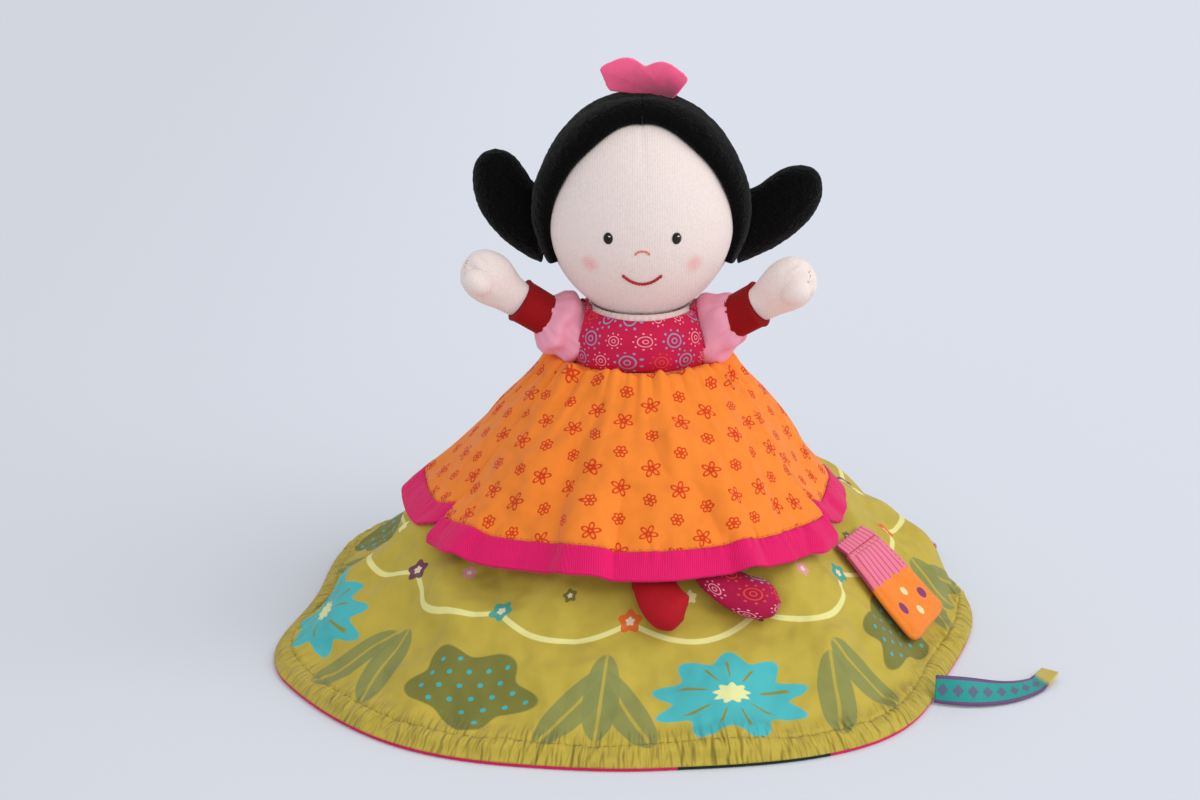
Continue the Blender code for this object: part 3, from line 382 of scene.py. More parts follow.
class Graph:
    """The nodes of one material."""

    def __init__(self, name: str, roughness: float, sheen: float = 0.0,
                 sheen_roughness: float = 0.5, specular: float = 0.3) -> None:
        """Start a material with constants set on its shader.

        Args:
            name: the material's name.
            roughness: the shader's roughness.
            sheen: the weight of the soft sheen of pile and weave.
            sheen_roughness: how wide that sheen spreads.
            specular: the level of plain gloss.
        """
        self.material = bpy.data.materials.new(name)
        self.material.use_nodes = True
        self.nodes = self.material.node_tree.nodes
        self.links = self.material.node_tree.links
        self.shader = self.nodes["Principled BSDF"]
        for socket, value in (("Roughness", roughness), ("Sheen Weight", sheen),
                              ("Sheen Roughness", sheen_roughness),
                              ("Specular IOR Level", specular)):
            self.shader.inputs[socket].default_value = value

    def put(self, socket: bpy.types.NodeSocket, value: object) -> None:
        """Set a socket to a number or to a colour given by its code, or link a value to it."""
        if isinstance(value, Value):
            self.links.new(value.socket, socket)
        else:
            socket.default_value = linear(value) if isinstance(value, str) else value

    def out(self, kind: str, inputs: dict[str | int, object], output: str | int = 0,
            **settings: object) -> Value:
        """Add a node.

        Args:
            kind: the node's type, without its ShaderNode prefix.
            inputs: values for its inputs, by name or number.
            output: which of its outputs to return.
            settings: its other properties.

        Returns:
            The output.
        """
        made = self.nodes.new(f"ShaderNode{kind}")
        for key, value in settings.items():
            setattr(made, key, value)
        for key, value in inputs.items():
            self.put(made.inputs[key], value)
        return Value(self, made.outputs[output])

    def num(self, operation: str, *values: object) -> Value:
        """Return the result of a Math node."""
        return self.out("Math", dict(enumerate(values)), operation=operation)

    def reach(self, x: Value, y: Value) -> Value:
        """Return how far a place is from the middle, from its two parts."""
        return self.num("SQRT", x * x + y * y)

    def mix(self, factor: object, first: object, second: object, blend: str = "MIX") -> Value:
        """Return a mix of two colours."""
        inputs = {0: factor, 6: first, 7: second}
        return self.out("Mix", inputs, 2, data_type="RGBA", blend_type=blend)

    def split(self, vector: Value) -> tuple[Value, Value, Value]:
        """Return a vector's three parts."""
        parts = self.out("SeparateXYZ", {0: vector}).socket.node.outputs
        return Value(self, parts[0]), Value(self, parts[1]), Value(self, parts[2])

    def vector(self, x: object, y: object, z: object = 0.0) -> Value:
        """Return a vector of three parts."""
        return self.out("CombineXYZ", {0: x, 1: y, 2: z})

    def chance(self, x: Value, y: Value, seed: float, output: int) -> Value:
        """Return a number (output 0) or three (output 1) that differ from cell to cell."""
        cell = self.vector(x, y, seed)
        return self.out("TexWhiteNoise", {0: cell}, output, noise_dimensions="3D")

    def cloth_map(self) -> Value:
        """Return the piece's own map, in metres on the flat cloth."""
        return self.out("UVMap", {}, uv_map="UVMap")

    def place(self) -> Value:
        """Return the point on the piece, in metres."""
        return self.out("TexCoord", {}, "Object")

    def grain(self, size: float, detail: float = 2.0, vector: Value | None = None,
              stretch: tuple[float, float, float] = (1.0, 1.0, 1.0)) -> Value:
        """Return noise whose lumps have about the given size in metres.

        Args:
            size: the lumps' size.
            detail: how much finer detail it has.
            vector: the coordinates, or None for the point on the piece.
            stretch: how much longer the lumps are along each axis.

        Returns:
            The noise, from 0 to 1.
        """
        at = self.place() if vector is None else vector
        sized = self.out("Mapping", {0: at, 3: tuple(1 / (size * s) for s in stretch)})
        return self.out("TexNoise", {"Vector": sized, "Scale": 1.0, "Detail": detail})

    def raise_by(self, height: Value, distance: float, strength: float = 1.0) -> None:
        """Add relief to the surface, on top of what is there."""
        inputs = {"Height": height, "Distance": distance, "Strength": strength}
        relief = self.out("Bump", inputs).socket
        normal = self.shader.inputs["Normal"]
        if normal.links:
            self.links.new(normal.links[0].from_socket, relief.node.inputs["Normal"])
        self.links.new(relief, normal)

    def tinted(self, colour: object, amount: float, size: float) -> Value:
        """Return a colour that is a little lighter and darker over the surface."""
        ends = {1: 0.25, 2: 0.75, 3: 1 - amount, 4: 1 + amount}
        shade = self.out("MapRange", {0: self.grain(size, 3.0), **ends})
        return self.mix(1.0, colour, self.vector(shade, shade, shade), "MULTIPLY")

    def paint(self, colour: object) -> Look:
        """Give the shader its colour and return the material."""
        self.put(self.shader.inputs["Base Color"], colour)
        return self.material


@dataclass(frozen=True)
class Cotton:
    """Woven cotton, plain or with a print."""

    name: str
    colour: str
    thread: float = 0.42 * MM
    roughness: float = 0.78
    sheen: float = 0.22
    creases: float = 0.9 * MM
    crease_size: float = 14 * MM
    shade: float = 0.05

    def start(self) -> tuple[Graph, Value, Value]:
        """Return the weave and its soft creases, and the two ways on the flat cloth."""
        graph = Graph(self.name, self.roughness, self.sheen, 0.4, 0.16)
        u, v, _ = graph.split(graph.cloth_map())
        across = (u * (pi / self.thread)).sine()
        along = (v * (pi / self.thread)).sine()
        over = across * along
        graph.raise_by(over, 0.05 * MM, 0.5)
        graph.raise_by(graph.grain(self.crease_size, 2.0), self.creases, 0.6)
        return graph, u, v

    def ground(self, graph: Graph, size: float = 9 * MM) -> Value:
        """Return the cloth's colour, a little lighter and darker over patches of a size."""
        return graph.tinted(self.colour, self.shade, size)

    def material(self) -> Look:
        """Return the plain cloth."""
        graph, _, _ = self.start()
        return graph.paint(self.ground(graph))


@dataclass(frozen=True)
class RibbedCloth(Cotton):
    """Twill with fine ribs down it, for a hem band."""

    rib: float = 0.95 * MM

    def material(self) -> Look:
        """Return the ribbed cloth, with painted shade in the valleys between its ribs."""
        graph = Graph(self.name, self.roughness, self.sheen, 0.4, 0.16)
        u, _, _ = graph.split(graph.cloth_map())
        ribs = (u * (2 * pi / self.rib)).sine()
        graph.raise_by(ribs, 0.10 * MM, 0.8)
        graph.raise_by(graph.grain(self.crease_size, 2.0), self.creases, 0.6)
        # painted shade: the valleys between the ribs are darkened towards 7A0A45, where shade would
        # fall
        painted_rib_shade = ribs.step(0.0, -1.0)
        dark = graph.mix(painted_rib_shade * 0.22, self.colour, "7A0A45")
        return graph.paint(graph.tinted(dark, self.shade, 9 * MM))


@dataclass(frozen=True)
class Velour:
    """Cream velour with a short soft nap, for skin."""

    name: str
    colour: str
    flush: str = "F29B98"
    wale: float = 1.15 * MM
    cheeks: tuple[tuple[float, float, float], ...] = ()

    def material(self) -> Look:
        """Return the velour, with painted shade in the dips between its wales, and the rosy cheeks
        if it has them.
        """
        graph = Graph(self.name, 0.95, 0.35, 0.6, 0.1)
        graph.raise_by(graph.grain(0.55 * MM, 3.0, stretch=(1.0, 1.0, 2.2)), 0.28 * MM, 0.55)
        graph.raise_by(graph.grain(5 * MM, 2.0), 0.5 * MM, 0.35)
        at = graph.place()
        wales = (graph.split(at)[0] * (2 * pi / self.wale)).sine()
        graph.raise_by(wales, 0.06 * MM, 0.6)
        # painted shade: the dips between the wales are darkened towards D9B8AC, where shade would
        # fall
        painted_wale_shade = wales.step(0.2, -1.0) * 0.07
        colour = graph.mix(painted_wale_shade, graph.tinted(self.colour, 0.05, 1.3 * MM), "D9B8AC")
        for cheek in self.cheeks:
            reach = graph.out("VectorMath", {0: at, 1: cheek}, "Value", operation="DISTANCE")
            patch = reach.step(6.5 * MM, 0.8 * MM) * 0.62
            rough = patch * graph.grain(1.1 * MM, 2.0).step(0.05, 0.6)
            colour = graph.mix(rough, colour, self.flush)
        return graph.paint(colour)


@dataclass(frozen=True)
class Plush:
    """Short dense pile for hair."""

    name: str
    colour: str
    # painted sheen: the paler colour laid on the pile's raised tufts
    tip: str

    def material(self) -> Look:
        """Return the pile, with painted sheen of the tip colour on its raised tufts."""
        graph = Graph(self.name, 0.95, 0.12, 0.3, 0.06)
        pile = graph.grain(0.5 * MM, 3.0, stretch=(1.0, 1.0, 1.8))
        graph.raise_by(pile, 0.9 * MM, 0.9)
        graph.raise_by(graph.grain(3.2 * MM, 2.0), 1.0 * MM, 0.5)
        # painted sheen: where the pile's tufts stand highest, the colour is lightened towards the
        # tip colour
        light = pile.step(0.48, 0.78)
        return graph.paint(graph.mix(light * 0.5, self.colour, self.tip))


@dataclass(frozen=True)
class Felt:
    """Pressed felt with matted fibres."""

    name: str
    colour: str

    def material(self) -> Look:
        """Return the felt."""
        graph = Graph(self.name, 0.95, 0.3, 0.5, 0.1)
        fibres = graph.grain(0.45 * MM, 6.0, stretch=(1.0, 1.0, 2.5))
        crossing = graph.grain(0.5 * MM, 6.0, stretch=(2.5, 1.0, 1.0))
        matted = fibres.larger(crossing)
        graph.raise_by(matted, 0.16 * MM, 0.6)
        pale = matted.step(0.5, 0.8) * 0.3
        return graph.paint(graph.tinted(graph.mix(pale, self.colour, "FF9BB4"), 0.06, 4 * MM))


@dataclass(frozen=True)
class Thread:
    """Twisted sewing thread, laid as embroidery or as a seam."""

    name: str
    colour: str
    gloss: float = 0.45

    def material(self) -> Look:
        """Return the thread."""
        graph = Graph(self.name, self.gloss, 0.1, 0.3, 0.4)
        graph.raise_by(graph.grain(0.28 * MM, 2.0, stretch=(2.5, 1.0, 1.0)), 0.12 * MM, 0.7)
        return graph.paint(graph.tinted(self.colour, 0.10, 1.5 * MM))


@dataclass(frozen=True)
class FlowerPrint(Cotton):
    """Cotton with small outlined flowers scattered in half-drop rows."""

    ink: str = "D62A0C"
    spacing: float = 12.8 * MM
    drop: float = 16.6 * MM
    large: float = 4.2 * MM
    small: float = 2.85 * MM
    line: float = 0.35 * MM

    def material(self) -> Look:
        """Return the printed cloth."""
        graph, u, v = self.start()
        across = u / self.spacing
        column = across.floor()
        odd = abs(column) % 2.0
        down = v / self.drop + odd * 0.45
        row = down.floor()
        chance = graph.chance(column, row, 3.0, 1)
        first, second, third = graph.split(chance)
        x = across.fract() - (0.42 + first * 0.16)
        y = down.fract() - (0.42 + second * 0.16)
        x = x * self.spacing
        y = y * self.drop
        reach = graph.reach(x, y)
        turned = y.angle_over(x) + third * (2 * pi)
        big = abs(column + row) % 2.0
        marks = []
        for petals, size, chosen, slim in ((5, self.large, big, 0.62),
                                           (6, self.small, 1.0 - big, 0.80)):
            sector = 2 * pi / petals
            folded = turned.wrapped(sector) - sector / 2
            ahead = reach * folded.cosine()
            aside = reach * folded.sine()
            middle, half = size * 0.62, size * 0.38
            along = (ahead - middle) / half
            wide = aside / (half * slim)
            ring = graph.reach(along, wide)
            off = abs(ring - 1.0)
            petal = off.step(1.2 * self.line / (half * slim), 0.6 * self.line / (half * slim))
            core = abs(reach - size * 0.15)
            dot = core.step(0.9 * self.line, 0.4 * self.line)
            marks.append(petal.larger(dot) * chosen)
        ink = marks[0].larger(marks[1])
        worn = ink * graph.grain(0.5 * MM, 2.0).step(0.0, 0.4)
        ground = self.ground(graph)
        return graph.paint(graph.mix(worn * 0.9, ground, self.ink))


@dataclass(frozen=True)
class RingPrint(Cotton):
    """Cotton with outlined rings, each in a wreath of dots, in several inks."""

    inks: tuple[str, ...] = ("F7A9B4", "E4512E", "62AECB")
    spacing: float = 12.5 * MM
    ring: float = 3.9 * MM
    line: float = 0.40 * MM
    wreath: int = 9

    def material(self) -> Look:
        """Return the printed cloth."""
        graph, u, v = self.start()
        colour = self.ground(graph)
        down = v / (self.spacing * 0.86)
        row = down.floor()
        shifted = abs(row) % 2.0 * 0.5
        across = u / self.spacing + shifted
        column = across.floor()
        chance = graph.chance(column, row, 8.0, 0)
        x = (across.fract() - 0.5) * self.spacing
        y = (down.fract() - 0.5) * (self.spacing * 0.86)
        reach = graph.reach(x, y)
        size = 0.72 + chance * 0.38
        reach = reach / size
        outer = abs(reach - self.ring * 0.8)
        inner = abs(reach - self.ring * 0.3)
        sector = 2 * pi / self.wreath
        folded = y.angle_over(x).wrapped(sector) - sector / 2
        ahead = reach * folded.cosine() - self.ring * 1.28
        aside = reach * folded.sine()
        bead = graph.reach(ahead, aside)
        inner_line = inner.step(self.line * 0.8, 0.3 * self.line)
        lines = outer.step(self.line, 0.35 * self.line).larger(inner_line)
        mark = lines.larger(bead.step(0.62 * MM, 0.4 * MM))
        first = graph.mix(chance.step(0.36, 0.37), self.inks[0], self.inks[1])
        ink = graph.mix(chance.step(0.70, 0.71), first, self.inks[2])
        return graph.paint(graph.mix(mark * 0.9, colour, ink))


@dataclass(frozen=True)
class MeadowPrint(Cotton):
    """Cotton with a garden border: daisies, round flowers of dots, leaves and a garland."""

    repeats: int = 4
    girth: float = 0.86

    def blot(self, graph: Graph, u: object, v: object, at: tuple[float, float],
             radii: tuple[float, float],
             tilt: float = 0.0, petals: int = 0, repeats: int = 0) -> tuple[Value, ...]:
        """Draw one repeated rounded shape.

        Args:
            graph: the material's nodes.
            u: the share of the way round the skirt.
            v: the distance up from the hem, in metres.
            at: the shape's place, as a share of one repeat and a distance up.
            radii: its half sizes in metres.
            tilt: its turn in degrees.
            petals: how many petals its edge has, or 0 for none.
            repeats: how often it comes round, or 0 for the print's own number.

        Returns:
            Its mask, its own distance from 0 in the middle to 1 at the edge, and its own x and y.
        """
        times = repeats or self.repeats
        turn = u * float(times) - at[0]
        x = (turn.wrapped(1.0) - 0.5) * (self.girth / times)
        y = v - at[1]
        run, climb = cos(radians(tilt)), sin(radians(tilt))
        along = x * run + y * climb
        aside = y * run - x * climb
        a = along / radii[0]
        b = aside / radii[1]
        off = graph.reach(a, b)
        if petals:
            wave = (b.angle_over(a) * float(petals)).cosine()
            off = off / (0.86 + wave * 0.14)
        return off.step(1.03, 0.97), off, along, aside

    def material(self) -> Look:
        """Return the printed cloth."""
        graph, u, v = self.start()
        tucks = graph.grain(2.6 * MM, 1.0, graph.cloth_map(), (1.0, 4.5, 1.0))
        tucks = tucks * v.step(20 * MM, 7 * MM)
        graph.raise_by(tucks, 6.0 * MM, 1.0)
        u = u / self.girth
        colour = self.ground(graph, 11 * MM)
        olive, deep, pale = "8E8B2C", "77793A", "F3EFA0"
        teal, sage = "35BCC4", "8A8F52"

        def lay(mask: object, ink: object, strength: float = 0.92) -> None:
            """Print one ink over what is there."""
            nonlocal colour
            colour = graph.mix(mask * strength, colour, ink)

        swag = abs((u * (3 * pi * self.repeats)).sine())
        hung = v - (72 * MM - swag * (11 * MM))
        lay(abs(hung).step(1.7 * MM, 1.2 * MM), pale, 0.85)
        for at, up, tilt in ((0.40, 27, 58.0), (0.50, 26, 118.0), (0.45, 33, 88.0),
                             (0.90, 26, 70.0), (0.98, 30, 106.0)):
            leaf, _, _, aside = self.blot(graph, u, v, (at, up * MM), (21 * MM, 7.5 * MM), tilt)
            lay(leaf, sage, 0.9)
            vein = abs(aside)
            lay(leaf * vein.step(0.9 * MM, 0.5 * MM), self.colour, 0.8)
        daisy, off, along, aside = self.blot(graph, u, v, (0.70, 31 * MM), (34 * MM, 22 * MM), 4.0,
                                             petals=9)
        lay(daisy, teal)
        rays = abs((aside.angle_over(along) * 4.5).sine())
        ring = off.step(0.34, 0.4) * off.step(0.8, 0.7)
        lay(daisy * (ring * rays.step(0.24, 0.14)), olive)
        lay(off.step(0.25, 0.21), pale, 0.9)
        bush, off, along, aside = self.blot(graph, u, v, (0.19, 33 * MM), (31 * MM, 21 * MM), -8.0,
                                            petals=5)
        lay(bush, deep)
        cell = 7.4 * MM
        gx = along.wrapped(cell) - cell / 2
        half_drop = (along / cell).floor() * (cell / 2)
        gy = (aside + half_drop).wrapped(cell) - cell / 2
        dots = graph.reach(gx, gy)
        lay(off.step(0.92, 0.82) * dots.step(1.25 * MM, 0.95 * MM), teal)
        for at, up, size, tilt, ink in ((0.5, 73, 7.0, 18.0, "E8662A"),
                                        (0.833, 73, 6.4, -20.0, "6E2E55"),
                                        (0.167, 73, 6.6, 8.0, "2FA79B"),
                                        (0.667, 84, 4.0, 12.0, "F3EFA0"),
                                        (0.0, 84, 4.0, -30.0, "E79BB0"),
                                        (0.333, 84, 4.0, 40.0, "6B6F3A")):
            radii = (size * MM, size * 0.92 * MM)
            petal, off, _, _ = self.blot(graph, u, v, (at, up * MM), radii, tilt, petals=5)
            lay(petal, ink)
            lay(off.step(0.42, 0.34), "F6E3C4", 0.9)
        return graph.paint(colour)


@dataclass(frozen=True)
class FlapPrint(Cotton):
    """Cotton for the padded flap: pink stripes above, orange with four soft spots below."""

    width: float = 0.038
    height: float = 0.040

    def material(self) -> Look:
        """Return the printed cloth."""
        graph, u, v = self.start()
        stripe = abs((u * (pi / (4.4 * MM))).sine())
        roof = graph.mix(stripe.step(0.36, 0.22), "EE7C93", "C2447E")
        wave = (u * (2 * pi / (9 * MM))).sine() * (0.8 * MM)
        upper = (v + wave).step(self.height * 0.42, self.height * 0.4)
        colour = graph.mix(upper, self.ground(graph), roof)
        for x, y, radius, ink in ((0.24, 0.72, 2.6, "8A3A6E"), (0.50, 0.60, 2.0, "FBE0A8"),
                                  (0.50, 0.84, 2.0, "FBE0A8"),
                                  (0.76, 0.72, 2.6, "8A3A6E")):
            dx = u - self.width * x
            dy = v - self.height * y
            off = graph.reach(dx, dy)
            colour = graph.mix(off.step(radius * 1.03 * MM, radius * 0.95 * MM), colour, ink)
        return graph.paint(colour)


@dataclass(frozen=True)
class Ribbon:
    """Woven satin ribbon with a border along each edge, and a tip in another colour."""

    name: str
    colour: str
    border: str
    tip: str
    width: float
    length: float

    def material(self) -> Look:
        """Return the ribbon."""
        graph = Graph(self.name, 0.5, 0.1, 0.3, 0.4)
        u, v, _ = graph.split(graph.cloth_map())
        lines = (v * (pi / (0.3 * MM))).sine()
        graph.raise_by(lines, 0.05 * MM, 0.6)
        edge = abs(u - self.width / 2)
        colour = graph.mix(edge.step(self.width * 0.36, self.width * 0.38), self.colour,
                           self.border)
        spot = v.wrapped(7 * MM)
        away = abs(spot - 3.5 * MM)
        lozenge = (away + edge * 0.9).step(3.0 * MM, 2.5 * MM)
        colour = graph.mix(lozenge * 0.75, colour, self.border)
        last = v.step(self.length * 0.84, self.length * 0.90)
        return graph.paint(graph.mix(last, graph.tinted(colour, 0.05, 2 * MM), self.tip))


# Skirts


@dataclass(frozen=True)
class SkirtForm:
    """The shape that the skirts share: a leaning bell with soft folds."""

    green_top: float = 0.1335
    green_bottom: float = 0.0036
    top_radius: float = 0.0325
    hem_radius: float = 0.1715
    hem_shift: float = -0.009
    spacing: float = 0.0026
    bulge: float = 0.017
    fold: float = 0.0036
    ridge: float = 0.0035
    sways: tuple[tuple[float, float, float, float], ...] = (
        (174.0, 34.0, -0.0175, 0.92), (-140.0, 42.0, 0.0085, 1.02), (-55.0, 30.0, 0.0095, 1.02),
    )
    over_top: float = 0.1368
    over_bottom: float = 0.0635
    over_top_radius: float = 0.0330
    over_hem_radius: float = 0.1115
    over_fold: float = 0.0028
    leg_room: float = 0.0195
    green_profile: Shares = (
        (0.0, 0.0), (0.064, 0.057), (0.162, 0.134), (0.274, 0.226), (0.398, 0.318), (0.545, 0.445),
        (0.628, 0.537), (0.729, 0.650), (0.827, 0.756), (0.936, 0.890), (1.0, 1.0),
    )
    over_profile: Shares = (
        (0.0, 0.0), (0.045, 0.130), (0.165, 0.245), (0.300, 0.370), (0.505, 0.550), (0.720, 0.725),
        (0.860, 0.865), (1.0, 1.0),
    )

    def oval(self, angle: float, drop: float) -> float:
        """Return how much wider than deep the skirts are near the waist."""
        share = (WAIST_WIDTH - WAIST_DEPTH) / (WAIST_WIDTH + WAIST_DEPTH) * (1 - drop) ** 2
        return 1 + share * cos(radians(2 * angle))

    def green_radius(self, angle: float, z: float) -> float:
        """Return the green skirt's radius at an angle in degrees and a height."""
        drop = clamped((self.green_top - z) / (self.green_top - self.green_bottom))
        flare = smooth_between(self.green_profile, drop)
        radius = self.top_radius + (self.hem_radius - self.top_radius) * flare
        radius *= self.oval(angle, drop)
        radius += self.bulge * beside(angle, 30.0, 75.0) * bump(drop, 0.72, 0.34)
        turn = radians(angle)
        wave = sin(6 * turn + 0.6) + 0.4 * sin(9 * turn + 2.0)
        calm = 1 - 0.6 * beside(angle, -80.0, 35.0)
        radius += self.fold * wave * bump(drop, 0.80, 0.42) * calm
        for centre, width, sway, low in self.sways:
            radius += sway * beside(angle, centre, width) * bump(drop, low, 0.45)
        return radius + self.ridge * beside(angle, -139.0, 9.0) * bump(drop, 0.74, 0.30)

    def shift(self, z: float) -> float:
        """Return how far the skirts' axis leans to the side at a height."""
        return self.hem_shift * clamped((self.green_top - z) / self.green_top)

    def point(self, angle: float, radius: float, z: float) -> Vector:
        """Return the point at an angle, a radius and a height about the leaning axis."""
        turn = radians(angle)
        return Vector((self.shift(z) + radius * cos(turn), radius * sin(turn), z))

    def lifted(self, radius_of: Callable[[float, float], float], angle: float, z: float,
               lift: float) -> Vector:
        """Return a point on a skirt's middle surface, lifted along its outward normal."""
        step_angle, step_z = 0.5, 0.66 * MM
        middle = self.point(angle, radius_of(angle, z), z)
        if not lift:
            return middle
        across = self.point(angle + step_angle, radius_of(angle + step_angle, z), z) - middle
        upward = self.point(angle, radius_of(angle, z + step_z), z + step_z) - middle
        return middle + across.cross(upward).normalized() * lift

    def on_green(self, angle: float, z: float, lift: float = 0.0) -> Vector:
        """Return a point on the green skirt, lifted off it."""
        return self.lifted(self.green_radius, angle, z, lift)

    def over_radius(self, angle: float, z: float) -> float:
        """Return the overskirt's radius, which never comes too near to the green skirt."""
        drop = clamped((self.over_top - z) / (self.over_top - self.over_bottom))
        share = smooth_between(self.over_profile, drop)
        radius = self.over_top_radius + (self.over_hem_radius - self.over_top_radius) * share
        radius *= self.oval(angle, drop)
        turn = radians(angle)
        radius += self.over_fold * (sin(8 * turn + 1.1) + 0.4 * sin(13 * turn)) * drop ** 0.7 * 0.6
        radius *= 1 - 0.05 * beside(angle, 8.0, 55.0) * drop
        legs = min(beside(angle, -77.0, 58.0) * 1.9, 1.0)
        room = self.spacing * 1.5 + (self.leg_room - self.spacing * 1.5) * legs * min(drop * 3, 1.0)
        return max(radius, self.green_radius(angle, z) + room * min(drop * 12, 1.0))

    def slope(self, radius_of: Callable[[float, float], float], top: float,
              bottom: float) -> list[tuple[float, float]]:
        """Measure the way down a skirt's front.

        Args:
            radius_of: gives the radius for an angle and a height.
            top: the height where it starts.
            bottom: the height where it ends.

        Returns:
            Heights, each with the length of cloth above it.
        """
        steps = 120
        heights = [top + (bottom - top) * i / steps for i in range(steps + 1)]
        lengths = [0.0]
        for high, low in zip(heights, heights[1:]):
            run = radius_of(MEASURED_AT, low) - radius_of(MEASURED_AT, high)
            lengths.append(lengths[-1] + hypot(run, high - low))
        return list(zip(heights, lengths))


def height_at(slope: Sequence[tuple[float, float]], share: float) -> float:
    """Return the height where a share of a slope's cloth is above."""
    wanted = share * slope[-1][1]
    for (high, before), (low, after) in zip(slope, slope[1:]):
        if wanted <= after:
            return high + (low - high) * (wanted - before) / (after - before)
    return slope[-1][0]


FORM = SkirtForm()


@dataclass(frozen=True)
class Stitches:
    """A row of machine stitches, each a short plump capsule."""

    length: float = 2.3 * MM
    gap: float = 0.9 * MM
    radius: float = 0.24 * MM

    def row(self, bm: Mesh, points: Sequence[Vector]) -> None:
        """Sew along a line of points.

        Args:
            bm: the mesh to add the stitches to.
            points: the line, with points closer than a stitch.
        """
        travelled, begun = 0.0, points[0]
        for before, after in zip(points, points[1:]):
            travelled += (after - before).length
            if travelled >= self.length and begun is not None:
                self.stitch(bm, begun, after)
                begun = None
            if travelled >= self.length + self.gap:
                travelled, begun = 0.0, after

    def stitch(self, bm: Mesh, start: Vector, end: Vector) -> None:
        """Add one stitch from start to end."""
        along = end - start
        if along.length < self.radius:
            return
        made = bmesh.ops.create_icosphere(bm, subdivisions=1, radius=1.0)["verts"]
        turn = along.to_track_quat("X", "Z").to_matrix().to_4x4()
        size = Matrix.Diagonal((along.length / 2, self.radius, self.radius, 1.0))
        bmesh.ops.transform(bm, matrix=Matrix.Translation((start + end) / 2) @ turn @ size,
                            verts=made)


